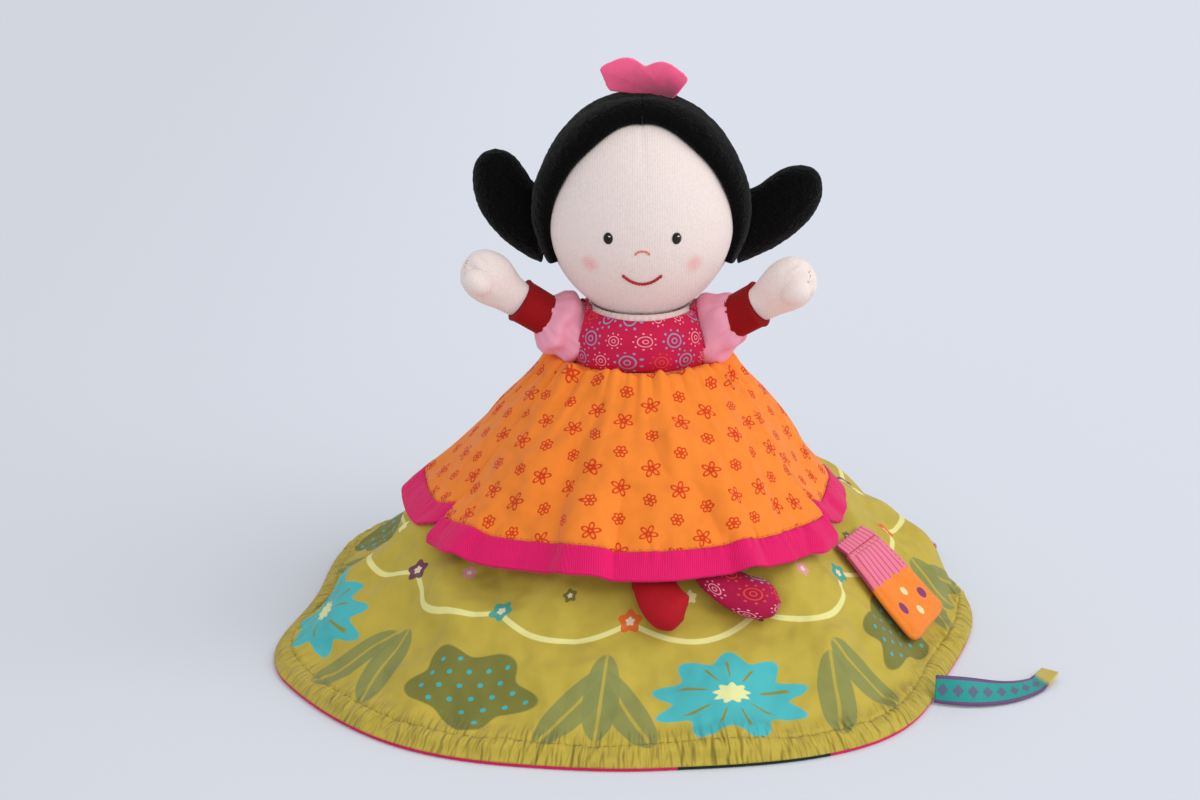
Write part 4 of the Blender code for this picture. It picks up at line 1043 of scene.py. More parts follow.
@dataclass
class GreenSkirt:
    """The printed skirt, its stitched hem, the lining inside it and the piped edge."""

    form: SkirtForm = FORM
    thickness: float = 0.0012
    casing: float = 7.5 * MM
    columns: int = 480
    rows: int = 92
    crowding: Shares = ((0.0, 0.0), (0.17, 0.45), (0.54, 0.85), (1.0, 1.0))
    edge: float = 2.0 * MM
    broad_fold: float = 12.0 * MM
    middle_fold: float = 8.0 * MM
    small_fold: float = 1.2 * MM
    under_legs: float = 0.8 * MM
    pleat: float = 3.2 * MM
    stitch_dent: float = 0.8 * MM
    lining_top: float = 0.1312
    piping: float = 0.85 * MM
    seam_steps: int = 1500
    print_: MeadowPrint = MeadowPrint("green_border_cotton", "C4AE46", creases=21 * MM,
                                      crease_size=32 * MM, sheen=0.12)
    thread: Thread = Thread("green_thread", "A08E36")
    lining: Cotton = Cotton("magenta_cotton", "E01C66")
    panel: Cotton = Cotton("dark_cotton", "1E2A26")
    slope: list[tuple[float, float]] = field(default_factory=list)

    def surface(self, angle: float, z: float) -> Vector:
        """Return a point on the printed skirt, with its folds and the puckers by its hem."""
        form = self.form
        up_cloth = (z - form.green_bottom) * HEM_LEAN
        rest = form.on_green(angle, z)
        if up_cloth < 0:
            return form.point(angle, form.green_radius(angle, z) - (z - form.green_bottom) * 0.9, z)
        legs = min(beside(angle, -79.0, 42.0) * 2.2, 1.0) * clamped((z - 0.028) / 0.010)
        flap = min(beside(angle, -17.0, 22.0) * 2.2, 1.0) * clamped((0.070 - z) / 0.012)
        broad = ripple(Vector((rest.x, rest.y, rest.z * 1.3)), 44 * MM, 3.0) + 0.25
        small = ripple(Vector((rest.x, rest.y, rest.z * 2.0)), 17 * MM, 8.0)
        middle = ripple(Vector((rest.x, rest.y, rest.z * 0.7)), 27 * MM, 12.0)
        lift = self.broad_fold * max(broad, -0.08) + self.middle_fold * max(middle, -0.15)
        lift += self.small_fold * small
        lift *= bump(z, 0.040, 0.052) * (1 - max(legs, flap))
        lift -= self.under_legs * legs
        taut = 0.6 + 0.4 * beside(angle, -35.0, 70.0)
        pleat = 0.45 - 1.6 * abs(mottle(angle / 2.9, up_cloth / (30 * MM), 5.0))
        lift += self.pleat * pleat * taut * bump(up_cloth, self.casing, 15 * MM)
        lift -= self.stitch_dent * bump(up_cloth, self.casing, 1.8 * MM)
        lift *= min(up_cloth / (2.5 * MM), 1.0)
        return form.on_green(angle, z, lift) if abs(lift) > 1e-7 else rest

    def build(self) -> list[Piece]:
        """Build the printed skirt, its stitches, the lining and the hem's edge.

        Returns:
            The pieces.
        """
        form = self.form
        bottom = form.green_bottom - self.edge
        self.slope = form.slope(form.green_radius, form.green_top, bottom)
        cloth = self.slope[-1][1]

        def place(across: float, down: float) -> Vector:
            """Place a point of the printed skirt."""
            return self.surface(360.0 * across,
                                height_at(self.slope, smooth_between(self.crowding, down)))

        def cut(across: float, down: float) -> tuple[float, float]:
            """Return the point on the flat cloth."""
            return (across * self.print_.girth, (1 - smooth_between(self.crowding, down)) * cloth)

        bm = woven(self.columns, self.rows, place, cut, Vector((0.0, 0.0, 0.03)), joined=True)
        skirt = add_piece("printed_skirt", bm, self.print_.material(), Body.TORSO, "green_cotton",
                          ["green_skirt"], self.thickness)
        seam = bmesh.new()
        line = form.green_bottom + self.casing / HEM_LEAN
        angles = [360.0 * i / self.seam_steps for i in range(self.seam_steps + 1)]
        Stitches().row(seam, [self.surface(angle, line) + self.outward(angle) for angle in angles])
        stitches = add_piece("hem_stitches", seam, self.thread.material(), Body.TORSO,
                             "green_cotton")
        gathers_up(skirt, stitches)
        return [skirt, stitches, *self.build_lining(), self.build_edge()]

    def outward(self, angle: float) -> Vector:
        """Return the small step that stands a stitch on the cloth near the hem."""
        turn = radians(angle)
        return Vector((cos(turn) * 0.45, sin(turn) * 0.45, 0.85)) * (self.thickness / 2 + 0.06 * MM)

    def build_lining(self) -> list[Piece]:
        """Build the bright lining and its dark front panel."""
        made = []
        for name, node, start, sweep, columns, look, slot, flat in (
            ("lining_cloth", "lining_skirt", -50.0, 332.0, 200, self.lining, "magenta",
             (0.50, 0.40, 0.110)),
            ("lining_front_panel", "lining_dark_panel", -78.0, 28.0, 26, self.panel,
             "black_cotton", (0.085, 0.20, 0.0098)),
        ):

            def place(across: float, down: float, start: float = start,
                      sweep: float = sweep) -> Vector:
                """Place a point of the lining."""
                angle = start + 0.25 + (sweep - 0.5) * across
                z = self.lining_top * (1 - down)
                outer = self.form.green_radius(angle, z + self.form.green_bottom * down)
                radius = outer - self.form.spacing * (1 + 0.25 * down)
                return self.form.point(angle, radius, z + self.thickness * 0.45 * down)

            span = radians(sweep) * 0.10
            bm = woven(columns, 48, place, flat_cloth(span, 0.2), Vector((0, 0, 0.03)))
            piece = add_piece(name, bm, look.material(), Body.TORSO, slot, [node], self.thickness)
            gathers_up(piece)
            made.append(piece)
        return made

    def build_edge(self) -> Piece:
        """Build the piped edge under the hem, bright but for the stretch by the dark panel."""
        past_hem = 1.25 * MM

        def place(around: float, along: float) -> Vector:
            """Place a point of the piping."""
            angle, turn = 360.0 * along, 2 * pi * around
            puff = self.piping * (0.9 + 0.10 * mottle(angle / 1.3, 2.0, 0.0))
            hem = self.form.green_radius(angle, self.form.green_bottom)
            out = hem + past_hem + cos(turn) * puff
            return self.form.point(angle, out, self.piping + sin(turn) * puff)

        bm = woven(10, 420, place, flat_cloth(0.008, 1.1), joined=True)
        face_outwards(bm)
        for face in bm.faces:
            middle = face.calc_center_median()
            angle = degrees(atan2(middle.y, middle.x - self.form.hem_shift))
            face.material_index = int(-82.0 < angle < -60.0)
        piping = add_piece("hem_piping", bm, self.lining.material(), Body.HEM, "magenta",
                           ["hem_edge"])
        piping.data.materials.append(self.panel.material())
        return piping


@dataclass(frozen=True)
class Panel:
    """One panel of the overskirt: where it lies, and how its side edges hang."""

    side: str
    start: float
    sweep: float
    columns: int
    inner: float
    tuck: float
    tuck_reach: float
    droop: float
    cloth_flat: tuple[float, float, float]
    band_flat: tuple[float, float, float]

    def from_edge(self, angle: float) -> float:
        """Return the degrees from the nearer side edge."""
        return max(min(angle - self.start, self.start + self.sweep - angle), 0.0)


@dataclass
class Overskirt:
    """The gathered flowered overskirt in two panels, each with a ribbed band."""

    form: SkirtForm = FORM
    thickness: float = 0.0012
    band_thickness: float = 0.0016
    band_top: float = 0.0735
    gathers: float = 3.6 * MM
    folds: float = 11.5 * MM
    over_legs: float = 1.9 * MM
    puckers: float = 1.5 * MM
    seam_dent: float = 0.6 * MM
    waist_puff: float = 4.8 * MM
    waist_tuck: float = 2.4 * MM
    cotton: FlowerPrint = FlowerPrint("flowered_cotton", "FB8A30", creases=19 * MM,
                                      crease_size=30 * MM, sheen=0.12)
    ribbed: RibbedCloth = RibbedCloth("ribbed_band", "EE1A6A", sheen=0.12)
    thread: Thread = Thread("orange_thread", "E2761A")
    panels: tuple[Panel, ...] = (
        Panel("front", -151.0, 122.0, 230, 0.0, -0.6 * MM, 10.0, -3.5 * MM, (0.21, 0.105, 0.0155),
              (0.28, 0.0140, 0.0038)),
        Panel("back", -35.0, 250.0, 330, 0.3 * MM, 3.0 * MM, 10.0, 8.0 * MM, (0.27, 0.20, 0.029),
              (0.56, 0.0135, 0.0074)),
    )

    def waves(self, ring: Vector, down: float, around: float, along: float, seed: float) -> float:
        """Return smooth noise on a ring, with its own scale round the ring and down it."""
        return noise.noise(ring * around + UP * (down * along + seed))

    def surface(self, panel: Panel, angle: float, z: float, lift: float = 0.0) -> Vector:
        """Return a point of a panel with its gathers, folds and puckers, lifted off it."""
        form = self.form
        turn = radians(angle)
        ring = Vector((cos(turn), sin(turn), 0.0))
        down = (form.over_top - z) / (form.over_top - form.over_bottom)
        fine = self.waves(ring, down, 15.0, 1.8, 7.0)
        gather = self.waves(ring, down, 8.0, 1.1, 1.0) + 0.3 * fine
        near = max(1 - down * 1.8, 0.0) ** 1.6 * min(down * 14, 1.0)
        fold = self.waves(ring, down, 3.6, 1.3, 4.0) + 0.28 * self.waves(ring, down, 8.0, 2.2, 2.0)
        right = 0.6 + 0.4 * beside(angle, -55.0, 80.0)
        right *= 1 - 0.65 * (beside(angle, -149.0, 20.0) + beside(angle, -32.0, 20.0))
        over_legs = min(beside(angle, -82.0, 60.0) * 1.6, 1.0)
        lift += self.gathers * gather * near * (1 - 0.4 * over_legs)
        deep = self.folds * right * (max(fold, -0.26 + 0.2 * over_legs) + 0.08)
        lift += (deep + self.over_legs * over_legs) * min(down * 1.6, 1.0)
        above = z - self.band_top
        pucker = mottle(angle / 1.5, z / (14 * MM), 9.0)
        uneven = 0.4 + 0.6 * beside(angle, -62.0, 45.0)
        lift += self.puckers * pucker * uneven * bump(above, 0.4 * MM, 7.0 * MM)
        lift -= self.seam_dent * bump(above, 0.6 * MM, 1.4 * MM)
        edge = panel.from_edge(angle)
        lift -= panel.inner + panel.tuck * bump(edge, 0.0, panel.tuck_reach)
        z += panel.droop * bump(edge, 0.0, 17.0) * down * down
        point = form.lifted(form.over_radius, angle, z, lift)
        puff = bump(down, 0.05, 0.05)
        point -= ring * self.waist_tuck * puff
        point.z += (self.waist_puff + 2.6 * MM * gather) * puff
        sleeve = Vector([UPPER.sleeve_radius + 0.9 * MM] * 3)
        for side in Side:
            point = keep_out(point, UPPER.arm(side)[0], sleeve)
        return point

    def woven_panel(self, panel: Panel, rows: int, top: float, bottom: float) -> Mesh:
        """Build a panel, or its band.

        Args:
            panel: the panel.
            rows: faces down.
            top: the height of its upper edge.
            bottom: the height of its lower edge.

        Returns:
            The open mesh.
        """
        form = self.form
        slope = form.slope(form.over_radius, top, bottom)
        run = form.over_radius(MEASURED_AT, bottom) - form.over_radius(MEASURED_AT, top)
        cone = max(run / slope[-1][1], 0.3)
        apex = form.over_radius(MEASURED_AT, top) / cone

        def place(across: float, down: float) -> Vector:
            """Place a point of the panel."""
            return self.surface(panel, panel.start + panel.sweep * across, height_at(slope, down))

        lengths = [0.0] * (rows + 1)
        measured = (0.2, 0.35, 0.5, 0.65, 0.8)
        for across in measured:
            points = [place(across, row / rows) for row in range(rows + 1)]
            for row in range(1, rows + 1):
                lengths[row] += (points[row] - points[row - 1]).length / len(measured)
        reaches = [apex + sum(lengths[:row + 1]) for row in range(rows + 1)]

        def cut(across: float, down: float) -> tuple[float, float]:
            """Return the point on the flat sector that the panel was cut from."""
            reach = reaches[round(down * rows)]
            turn = radians(panel.sweep) * (across - 0.5) * cone
            return (reach * sin(turn) + 0.5, 0.5 - reach * cos(turn))

        return woven(panel.columns, rows, place, cut, Vector((0.0, 0.0, 0.05)))

    def build(self) -> list[Piece]:
        """Build both panels, their bands and their stitches."""
        form, made = self.form, []
        cotton, ribbed = self.cotton.material(), self.ribbed.material()
        thread = self.thread.material()
        for panel in self.panels:
            side = panel.side
            bm = self.woven_panel(panel, 110, form.over_top, self.band_top + FIT_GAP)
            cloth = add_piece(f"flowered_panel_{side}", bm, cotton, Body.TORSO, "orange_cotton",
                              [f"overskirt_{side}"], self.thickness)
            bm = self.woven_panel(panel, 16, self.band_top, form.over_bottom)
            band = add_piece(f"ribbed_band_{side}", bm, ribbed, Body.TORSO, "magenta",
                             [f"overskirt_band_{side}"], self.band_thickness)
            seam = bmesh.new()
            steps = int(panel.sweep * 5)
            angles = [panel.start + 1.0 + (panel.sweep - 2.0) * i / steps for i in range(steps + 1)]
            z, lift = self.band_top + 0.9 * MM, self.thickness / 2 + 0.10 * MM
            Stitches(2.0 * MM, 0.8 * MM, 0.26 * MM).row(
                seam, [self.surface(panel, angle, z, lift) for angle in angles])
            stitches = add_piece(f"band_stitches_{side}", seam, thread, Body.TORSO, "orange_cotton")
            gathers_up(cloth, band, stitches)
            made += [cloth, band, stitches]
        return made


# Dolls


HAND_SHARES: Shares = ((0.0, 0.68), (0.20, 0.78), (0.56, 1.0), (0.82, 0.84), (0.95, 0.48),
                       (1.0, 0.0))
BUNCH_SHARES: Shares = ((0.0, 1.28), (0.30, 1.14), (0.70, 1.02), (0.88, 0.80), (0.97, 0.44),
                        (1.0, 0.0))
LEG_SHARES: Shares = ((0.0, 0.0), (0.06, 0.55), (0.20, 0.92), (0.60, 1.0), (0.90, 0.92),
                      (1.0, 0.76))
BOOT_WIDTH_SHARES: Shares = ((0.0, 0.80), (0.10, 0.86), (0.30, 0.90), (0.68, 1.0), (0.90, 0.70),
                             (1.0, 0.0))
BOOT_THICKNESS_SHARES: Shares = ((0.0, 0.60), (0.45, 0.72), (0.75, 1.0), (0.92, 0.68), (1.0, 0.0))


@dataclass(frozen=True)
class DollForm:
    """One doll's sizes and the way up that it is."""

    prefix: str = ""
    up: float = 1.0
    head_z: float = 0.2085
    head: tuple[float, float, float] = (0.045, 0.041, 0.0515)
    bodice: tuple[float, float, float] = (0.072, 0.066, 0.0315)
    nape: float = 0.026
    shoulder: tuple[float, float, float] = (0.036, -0.007, 0.019)
    sleeve_radius: float = 0.0155
    cuff_radius: float = 0.0098
    cuff_length: float = 0.0115
    hand: tuple[float, float, float] = (0.033, 0.025, 0.021)
    arm_up: tuple[float, float] = (34.0, 36.0)
    arm_forward: tuple[float, float] = (11.0, 24.0)
    head_body: Body = Body.HEAD
    neck_body: Body = Body.NECK

    def head_point(self, polar: float, around: float, lift: float) -> Vector:
        """Return a point over the head.

        Args:
            polar: degrees from straight ahead.
            around: degrees round from the top of the head.
            lift: how far it stands off the head.

        Returns:
            The point.
        """
        polar, around = radians(polar), radians(around)
        unit = Vector((sin(polar) * sin(around), -cos(polar), sin(polar) * cos(around)))
        skin = Vector([unit[i] * self.head[i] for i in range(3)])
        normal = Vector([unit[i] / self.head[i] for i in range(3)]).normalized()
        point = skin + normal * lift
        return Vector((point.x, point.y, self.head_z + self.up * point.z))

    def arm(self, side: Side) -> tuple[Vector, Vector, Vector, Vector]:
        """Return an arm's shoulder, its direction, its level direction and its upward one."""
        i = 0 if side is Side.LEFT else 1
        raised, forward = radians(self.arm_up[i]), radians(self.arm_forward[i])
        shoulder = Vector((side.value * self.shoulder[0], self.shoulder[1],
                           WAIST_Z + self.up * self.shoulder[2]))
        along = Vector((side.value * cos(raised) * cos(forward), -sin(forward),
                        self.up * sin(raised) * cos(forward)))
        level = (Vector((0.0, 1.0, 0.0)) - along * along.y).normalized()
        up = UP * self.up
        return shoulder, along, level, (up - along * up.dot(along)).normalized()


UPPER = DollForm()
LOWER = DollForm(
    prefix="lower_", up=-1.0, head_z=0.0574, bodice=(0.062, 0.056, 0.0290), nape=0.012,
    shoulder=(0.0285, -0.007, 0.020),
    sleeve_radius=0.0115, cuff_radius=0.0078, hand=(0.0205, 0.020, 0.0168), arm_up=(47.5, 47.5),
    arm_forward=(11.0, 11.0),
    head_body=Body.LOWER_HEAD, neck_body=Body.TORSO,
)


@dataclass
class Head:
    """A stuffed velour head with a plain embroidered face, and its neck."""

    form: DollForm
    skin: str = CREAM_SKIN
    eye_across: float = 15.5 * MM
    eye_rise: float = -3.5 * MM
    eye_width: float = 4.3 * MM
    eye_height: float = 5.4 * MM
    mouth_across: float = 9.0 * MM
    mouth_rise: float = -21.5 * MM
    mouth_sag: float = 4.6 * MM
    nose_rise: float = -11.0 * MM
    cheek_across: float = 24.0 * MM
    cheek_rise: float = -17.5 * MM
    dart: float = 0.55 * MM
    eye_rows: int = 15
    mouth_stitches: int = 13
    thread_sides: int = 6
    black: Thread = Thread("black_thread", "16120F")
    white: Thread = Thread("white_thread", "F4F2EE")
    red: Thread = Thread("red_thread", "B5152A", 0.55)
    coral: Thread = Thread("coral_thread", "E07A5C", 0.55)

    def swell(self, point: Vector) -> Vector:
        """Fill out the cheeks and flatten the brow a little."""
        off = (point.z - self.form.head_z) * self.form.up
        front = max(-point.y / self.form.head[1], 0.0)
        wide = 1 + 0.022 * bump(off, -10 * MM, 34 * MM)
        deep = 1 + 0.02 * bump(off, -14 * MM, 30 * MM) * front
        return Vector((point.x * wide, point.y * deep, point.z))

    def on_face(self, x: float, rise: float, lift: float) -> Vector:
        """Return the point of the face at a place across and up, lifted off the velour."""
        a, b, c = self.form.head
        y = -b * sqrt(max(1 - (x / a) ** 2 - (rise / c) ** 2, 0.0))
        normal = Vector((x / a ** 2, y / b ** 2, rise / c ** 2)).normalized()
        point = self.swell(Vector((x, y, self.form.head_z + self.form.up * rise)))
        return point + Vector((normal.x, normal.y, self.form.up * normal.z)) * lift

    def build(self) -> list[Piece]:
        """Build the head, its seam, its face and the neck."""
        form = self.form
        name, body = form.prefix, form.head_body
        bm = bmesh.new()
        bm.loops.layers.uv.new("UVMap")
        bmesh.ops.create_uvsphere(bm, u_segments=112, v_segments=80, radius=1.0, calc_uvs=True)
        for vert in bm.verts:
            vert.co = Vector([vert.co[i] * form.head[i] for i in range(3)]) + UP * form.head_z
            vert.co = self.swell(vert.co)
            off = (vert.co.z - form.head_z) * form.up
            normal = (vert.co - Vector((0, 0, form.head_z))).normalized()
            front = vert.co.y < 0
            brow = bump(vert.co.x, 0.0, 1.3 * MM) * front * clamped((off - 24 * MM) / (8 * MM))
            chin = bump(vert.co.x, 0.0, 1.6 * MM) * front * clamped((-off - 44 * MM) / (4 * MM))
            dent = self.dart * max(brow, chin)
            vert.co += normal * (0.22 * MM * ripple(vert.co, 9 * MM, 2.0) - dent)
        face_outwards(bm)
        cheeks = tuple(tuple(self.on_face(s * self.cheek_across, self.cheek_rise, 0.0))
                       for s in (-1, 1))
        velour = Velour(f"{name}face_velour", self.skin, cheeks=cheeks).material()
        head = add_piece(f"{name}velour_head", bm, velour, body, "velour", [f"{name}head"])
        return [head, *self.eyes(), self.line_piece("mouth", self.red, 0.75 * MM, self.mouth()),
                self.line_piece("nose", self.coral, 0.45 * MM, self.nose()), self.neck()]

    def eyes(self) -> list[Piece]:
        """Sew the two eyes in satin stitch, each with a small light stitch."""
        satin, light = bmesh.new(), bmesh.new()
        for sign in (-1.0, 1.0):
            for row in range(self.eye_rows):
                share = (row + 0.5) / self.eye_rows * 2 - 1
                half = self.eye_width / 2 * sqrt(1 - share * share * 0.94)
                rise = self.eye_rise + share * self.eye_height / 2
                x = sign * self.eye_across
                puff = 0.35 * MM * sqrt(1 - share * share * 0.9)
                points = [self.on_face(x + half * t, rise, puff * (1 - 0.6 * t * t))
                          for t in (-1.0, -0.5, 0.0, 0.5, 1.0)]
                self.cord_along(satin, points, self.eye_height / self.eye_rows * 0.62)
            centre, rise = sign * self.eye_across, self.eye_rise + 1.1 * MM
            glint = [self.on_face(centre + t * MM, rise, 0.62 * MM) for t in (0.1, 0.6, 1.1)]
            self.cord_along(light, glint, 0.34 * MM)
        name, body = self.form.prefix, self.form.head_body
        return [add_piece(f"{name}sewn_eyes", satin, self.black.material(), body, "velour"),
                add_piece(f"{name}eye_lights", light, self.white.material(), body, "velour")]

    def cord_along(self, bm: Mesh, points: Sequence[Vector], radius: float) -> None:
        """Add a round thread along points, with its ends closed."""
        rings = []
        for i, point in enumerate(points):
            ahead = (points[min(i + 1, len(points) - 1)] - points[max(i - 1, 0)]).normalized()
            slim = radius * (0.55 if i in (0, len(points) - 1) else 1.0)
            made = bmesh.ops.create_circle(bm, segments=self.thread_sides, radius=slim)["verts"]
            turn = ahead.to_track_quat("Z", "Y").to_matrix().to_4x4()
            bmesh.ops.transform(bm, matrix=Matrix.Translation(point) @ turn, verts=made)
            rings.append(made)
        for near, far in zip(rings, rings[1:]):
            edges = {e for v in (*near, *far) for e in v.link_edges
                     if all(w in near for w in e.verts) or all(w in far for w in e.verts)}
            bmesh.ops.bridge_loops(bm, edges=list(edges))
        for ring in (rings[0], rings[-1]):
            bmesh.ops.contextual_create(bm, geom=list(ring))

    def mouth(self) -> list[list[Vector]]:
        """Return the overlapping stitches of the smile."""
        stitches, count = [], self.mouth_stitches
        for i in range(count):
            points = []
            for step in range(4):
                share = (i + step / 3 * 1.15) / (count + 0.15) * 2 - 1
                rise = self.mouth_rise - self.mouth_sag * (1 - share * share)
                lift = (0.35 + 0.15 * sin(step)) * MM
                points.append(self.on_face(share * self.mouth_across, rise, lift))
            stitches.append(points)
        return stitches

    def nose(self) -> list[list[Vector]]:
        """Return the stitches of the small nose."""
        stitches = []
        for i in range(5):
            points = []
            for step in range(4):
                turn = pi * (i + step / 3 * 1.1) / 5.1
                rise = self.nose_rise + 1.9 * MM * sin(turn)
                points.append(self.on_face(-3.2 * MM * cos(turn), rise, 0.25 * MM))
            stitches.append(points)
        return stitches

    def line_piece(self, kind: str, thread: Thread, radius: float,
                   stitches: Sequence[Sequence[Vector]]) -> Piece:
        """Sew a line of stitches as one piece."""
        bm = bmesh.new()
        for points in stitches:
            self.cord_along(bm, points, radius)
        face_outwards(bm)
        return add_piece(f"{self.form.prefix}sewn_{kind}", bm, thread.material(),
                         self.form.head_body, "velour")

    def neck(self) -> Piece:
        """Build the short gathered neck, dished under the chin."""
        form = self.form
        chin = form.head_z - form.up * form.head[2]
        centre = Vector((0.0, 0.0, form.head_z))
        radii = Vector(form.head) + Vector((0.5, 1.4, 1.1)) * MM
        upper, lower = (0.0270, 0.0240, 8.4 * MM), (0.0135, 0.0135, 1.2 * MM)
        wide, deep, rise = upper if form.up > 0 else lower
        sunk = 2.6 * MM

        def place(around: float, along: float) -> Vector:
            """Place a point of the neck."""
            turn, section = 2 * pi * around, pi * (along - 0.5)
            gather = 0.016 * sin(46 * turn + 2 * sin(3 * turn)) * (along > 0.5)
            reach = cos(section) ** 0.5 * (1 + gather)
            high = chin - form.up * (sunk - (rise + sunk) * (0.5 + 0.5 * sin(section)))
            point = Vector((cos(turn) * wide * reach, sin(turn) * deep * reach, high))
            return keep_out(point, centre, radii)

        skin = Velour(f"{form.prefix}neck_velour", self.skin).material()
        return add_piece(f"{form.prefix}velour_neck", stuffed(220, 40, place, 0.08, 0.02), skin,
                         form.neck_body,
                         "velour", [f"{form.prefix}neck"])


@dataclass
class Hair:
    """Plush hair: a cap, a parted front roll and, on the upper doll, a bunch at each side."""

    form: DollForm
    plush: Plush
    slot: str
    thickness: float = 5.5 * MM
    roll: float = 7.5 * MM
    tufts: float = 0.42 * MM
    overlap: float = 16.4
    roll_width: float = 16.6
    roll_end: float = 115.4
    seam: float = 0.7 * MM

    def hairline(self, around: float) -> float:
        """Return the hairline's angle from straight ahead, at an angle round the head."""
        return 64.0 + 10.0 * min(abs(around) / 100.0, 1.0)

    def tufted(self, point: Vector, centre: Vector) -> Vector:
        """Move a point of the pile in or out by its tufts."""
        out = (point - centre).normalized()
        amount = 0.6 * ripple(point, 2.6 * MM, 1.0) + 0.45 * ripple(point, 1.15 * MM, 6.0)
        amount += 0.9 * ripple(point, 12 * MM, 4.0)
        moved = point + out * (amount * self.tufts)
        return Vector((moved.x, moved.y, max(moved.z, 0.25 * MM)))

    def build(self) -> list[Piece]:
        """Build every piece of hair."""
        look = self.plush.material()
        made = [self.cap(look), *[self.front(look, side) for side in Side]]
        if self.form.up > 0:
            made += [self.bunch(look, side) for side in Side]
        return made

    def cap(self, look: Look) -> Piece:
        """Build the cap over the crown and back of the head, open at the nape."""
        form = self.form
        centre = Vector((0.0, 0.0, form.head_z))

        def place(around: float, along: float) -> Vector:
            """Place a point of the cap's outer face."""
            turn = 360.0 * around
            front = self.hairline(angle_off(turn, 0.0)) + self.overlap
            polar = front + (180.0 - front) * along
            pile = self.thickness * (0.62 + 0.38 * min(along * 7, 1.0))
            return self.tufted(form.head_point(polar, turn, HAIR_GAP + pile), centre)

        bm = woven(320, 136, place, flat_cloth(0.3, 0.09), centre, joined=True)
        edge = form.head_z - form.up * form.nape
        geom = [*bm.verts, *bm.edges, *bm.faces]
        bmesh.ops.bisect_plane(bm, geom=geom, plane_co=(0, 0, edge), plane_no=(0, 0, -form.up),
                               clear_outer=True)
        return add_piece(f"{form.prefix}plush_cap", bm, look, form.head_body, self.slot,
                         [f"{form.prefix}hair_cap"], self.thickness * 0.9, -1.0)

    def front(self, look: Look, side: Side) -> Piece:
        """Build one half of the front roll, from the parting to the temple."""
        form = self.form

        def place(around: float, along: float) -> Vector:
            """Place a point of the roll."""
            turn = 0.2 + self.roll_end * along
            section = 2 * pi * around
            fullness = 0.45 + 0.55 * sin(pi * min(1.35 * (1 - along) + 0.02, 0.5))
            arch = 8.5 * bump(turn, 58.0, 56.0) + 2.6 * bump(turn, 32.0, 30.0) + 3.0
            arch -= 1.5 * min(turn / 100.0, 1.0)
            across = (self.roll_width + arch) * (0.5 - 0.5 * cos(section))
            polar = self.hairline(turn) + 0.2 - arch + across
            crown = max(sin(section), 0.0) ** 0.8
            seam = self.seam * bump(section, 2.35, 0.35) * bump(along, 0.35, 0.5)
            lift = HAIR_GAP + self.roll * fullness * crown + seam
            point = form.head_point(polar, side.value * turn, lift)
            root = form.head_point(polar, side.value * turn, 0.0)
            return point if crown <= 0.05 else self.tufted(point, root)

        return add_piece(f"{form.prefix}plush_front_{side.word}",
                         stuffed(80, 200, place, 0.04, 0.12), look,
                         form.head_body, self.slot, [f"{form.prefix}hair_front_{side.word}"])

    def bunch(self, look: Look, side: Side) -> Piece:
        """Build one stuffed bunch, which curls up to a round tip."""
        reach, lift = (0.0265, 0.0395) if side is Side.LEFT else (0.0335, 0.0315)
        root = Vector((side.value * 0.043, 0.0105, WAIST_Z + 0.063))
        tip = root + Vector((side.value * reach, 0.0, lift))
        knee = Vector((tip.x, root.y, root.z + 0.008))
        centre = Vector((0.0, 0.0, self.form.head_z))
        radii = Vector(self.form.head) + Vector([HAIR_GAP + FIT_GAP + self.thickness] * 3)

        def path(t: float) -> Vector:
            """Return the bunch's middle line."""
            return root * (1 - t) ** 2 + knee * 2 * t * (1 - t) + tip * t * t

        shares = BUNCH_SHARES
        tube = swept(path, 0.0095, 0.0135, shares, shares, Vector((0.0, 1.0, 0.0)))

        def place(around: float, along: float) -> Vector:
            """Place a point of the bunch, tufted and clear of the cap."""
            point = tube(around, along)
            return keep_out(self.tufted(point, path(eased(along))), centre, radii)

        return add_piece(f"plush_bunch_{side.word}", stuffed(130, 160, place, 0.075, 0.06), look,
                         f"hair_{side.word}", self.slot, [f"hair_bunch_{side.word}"])


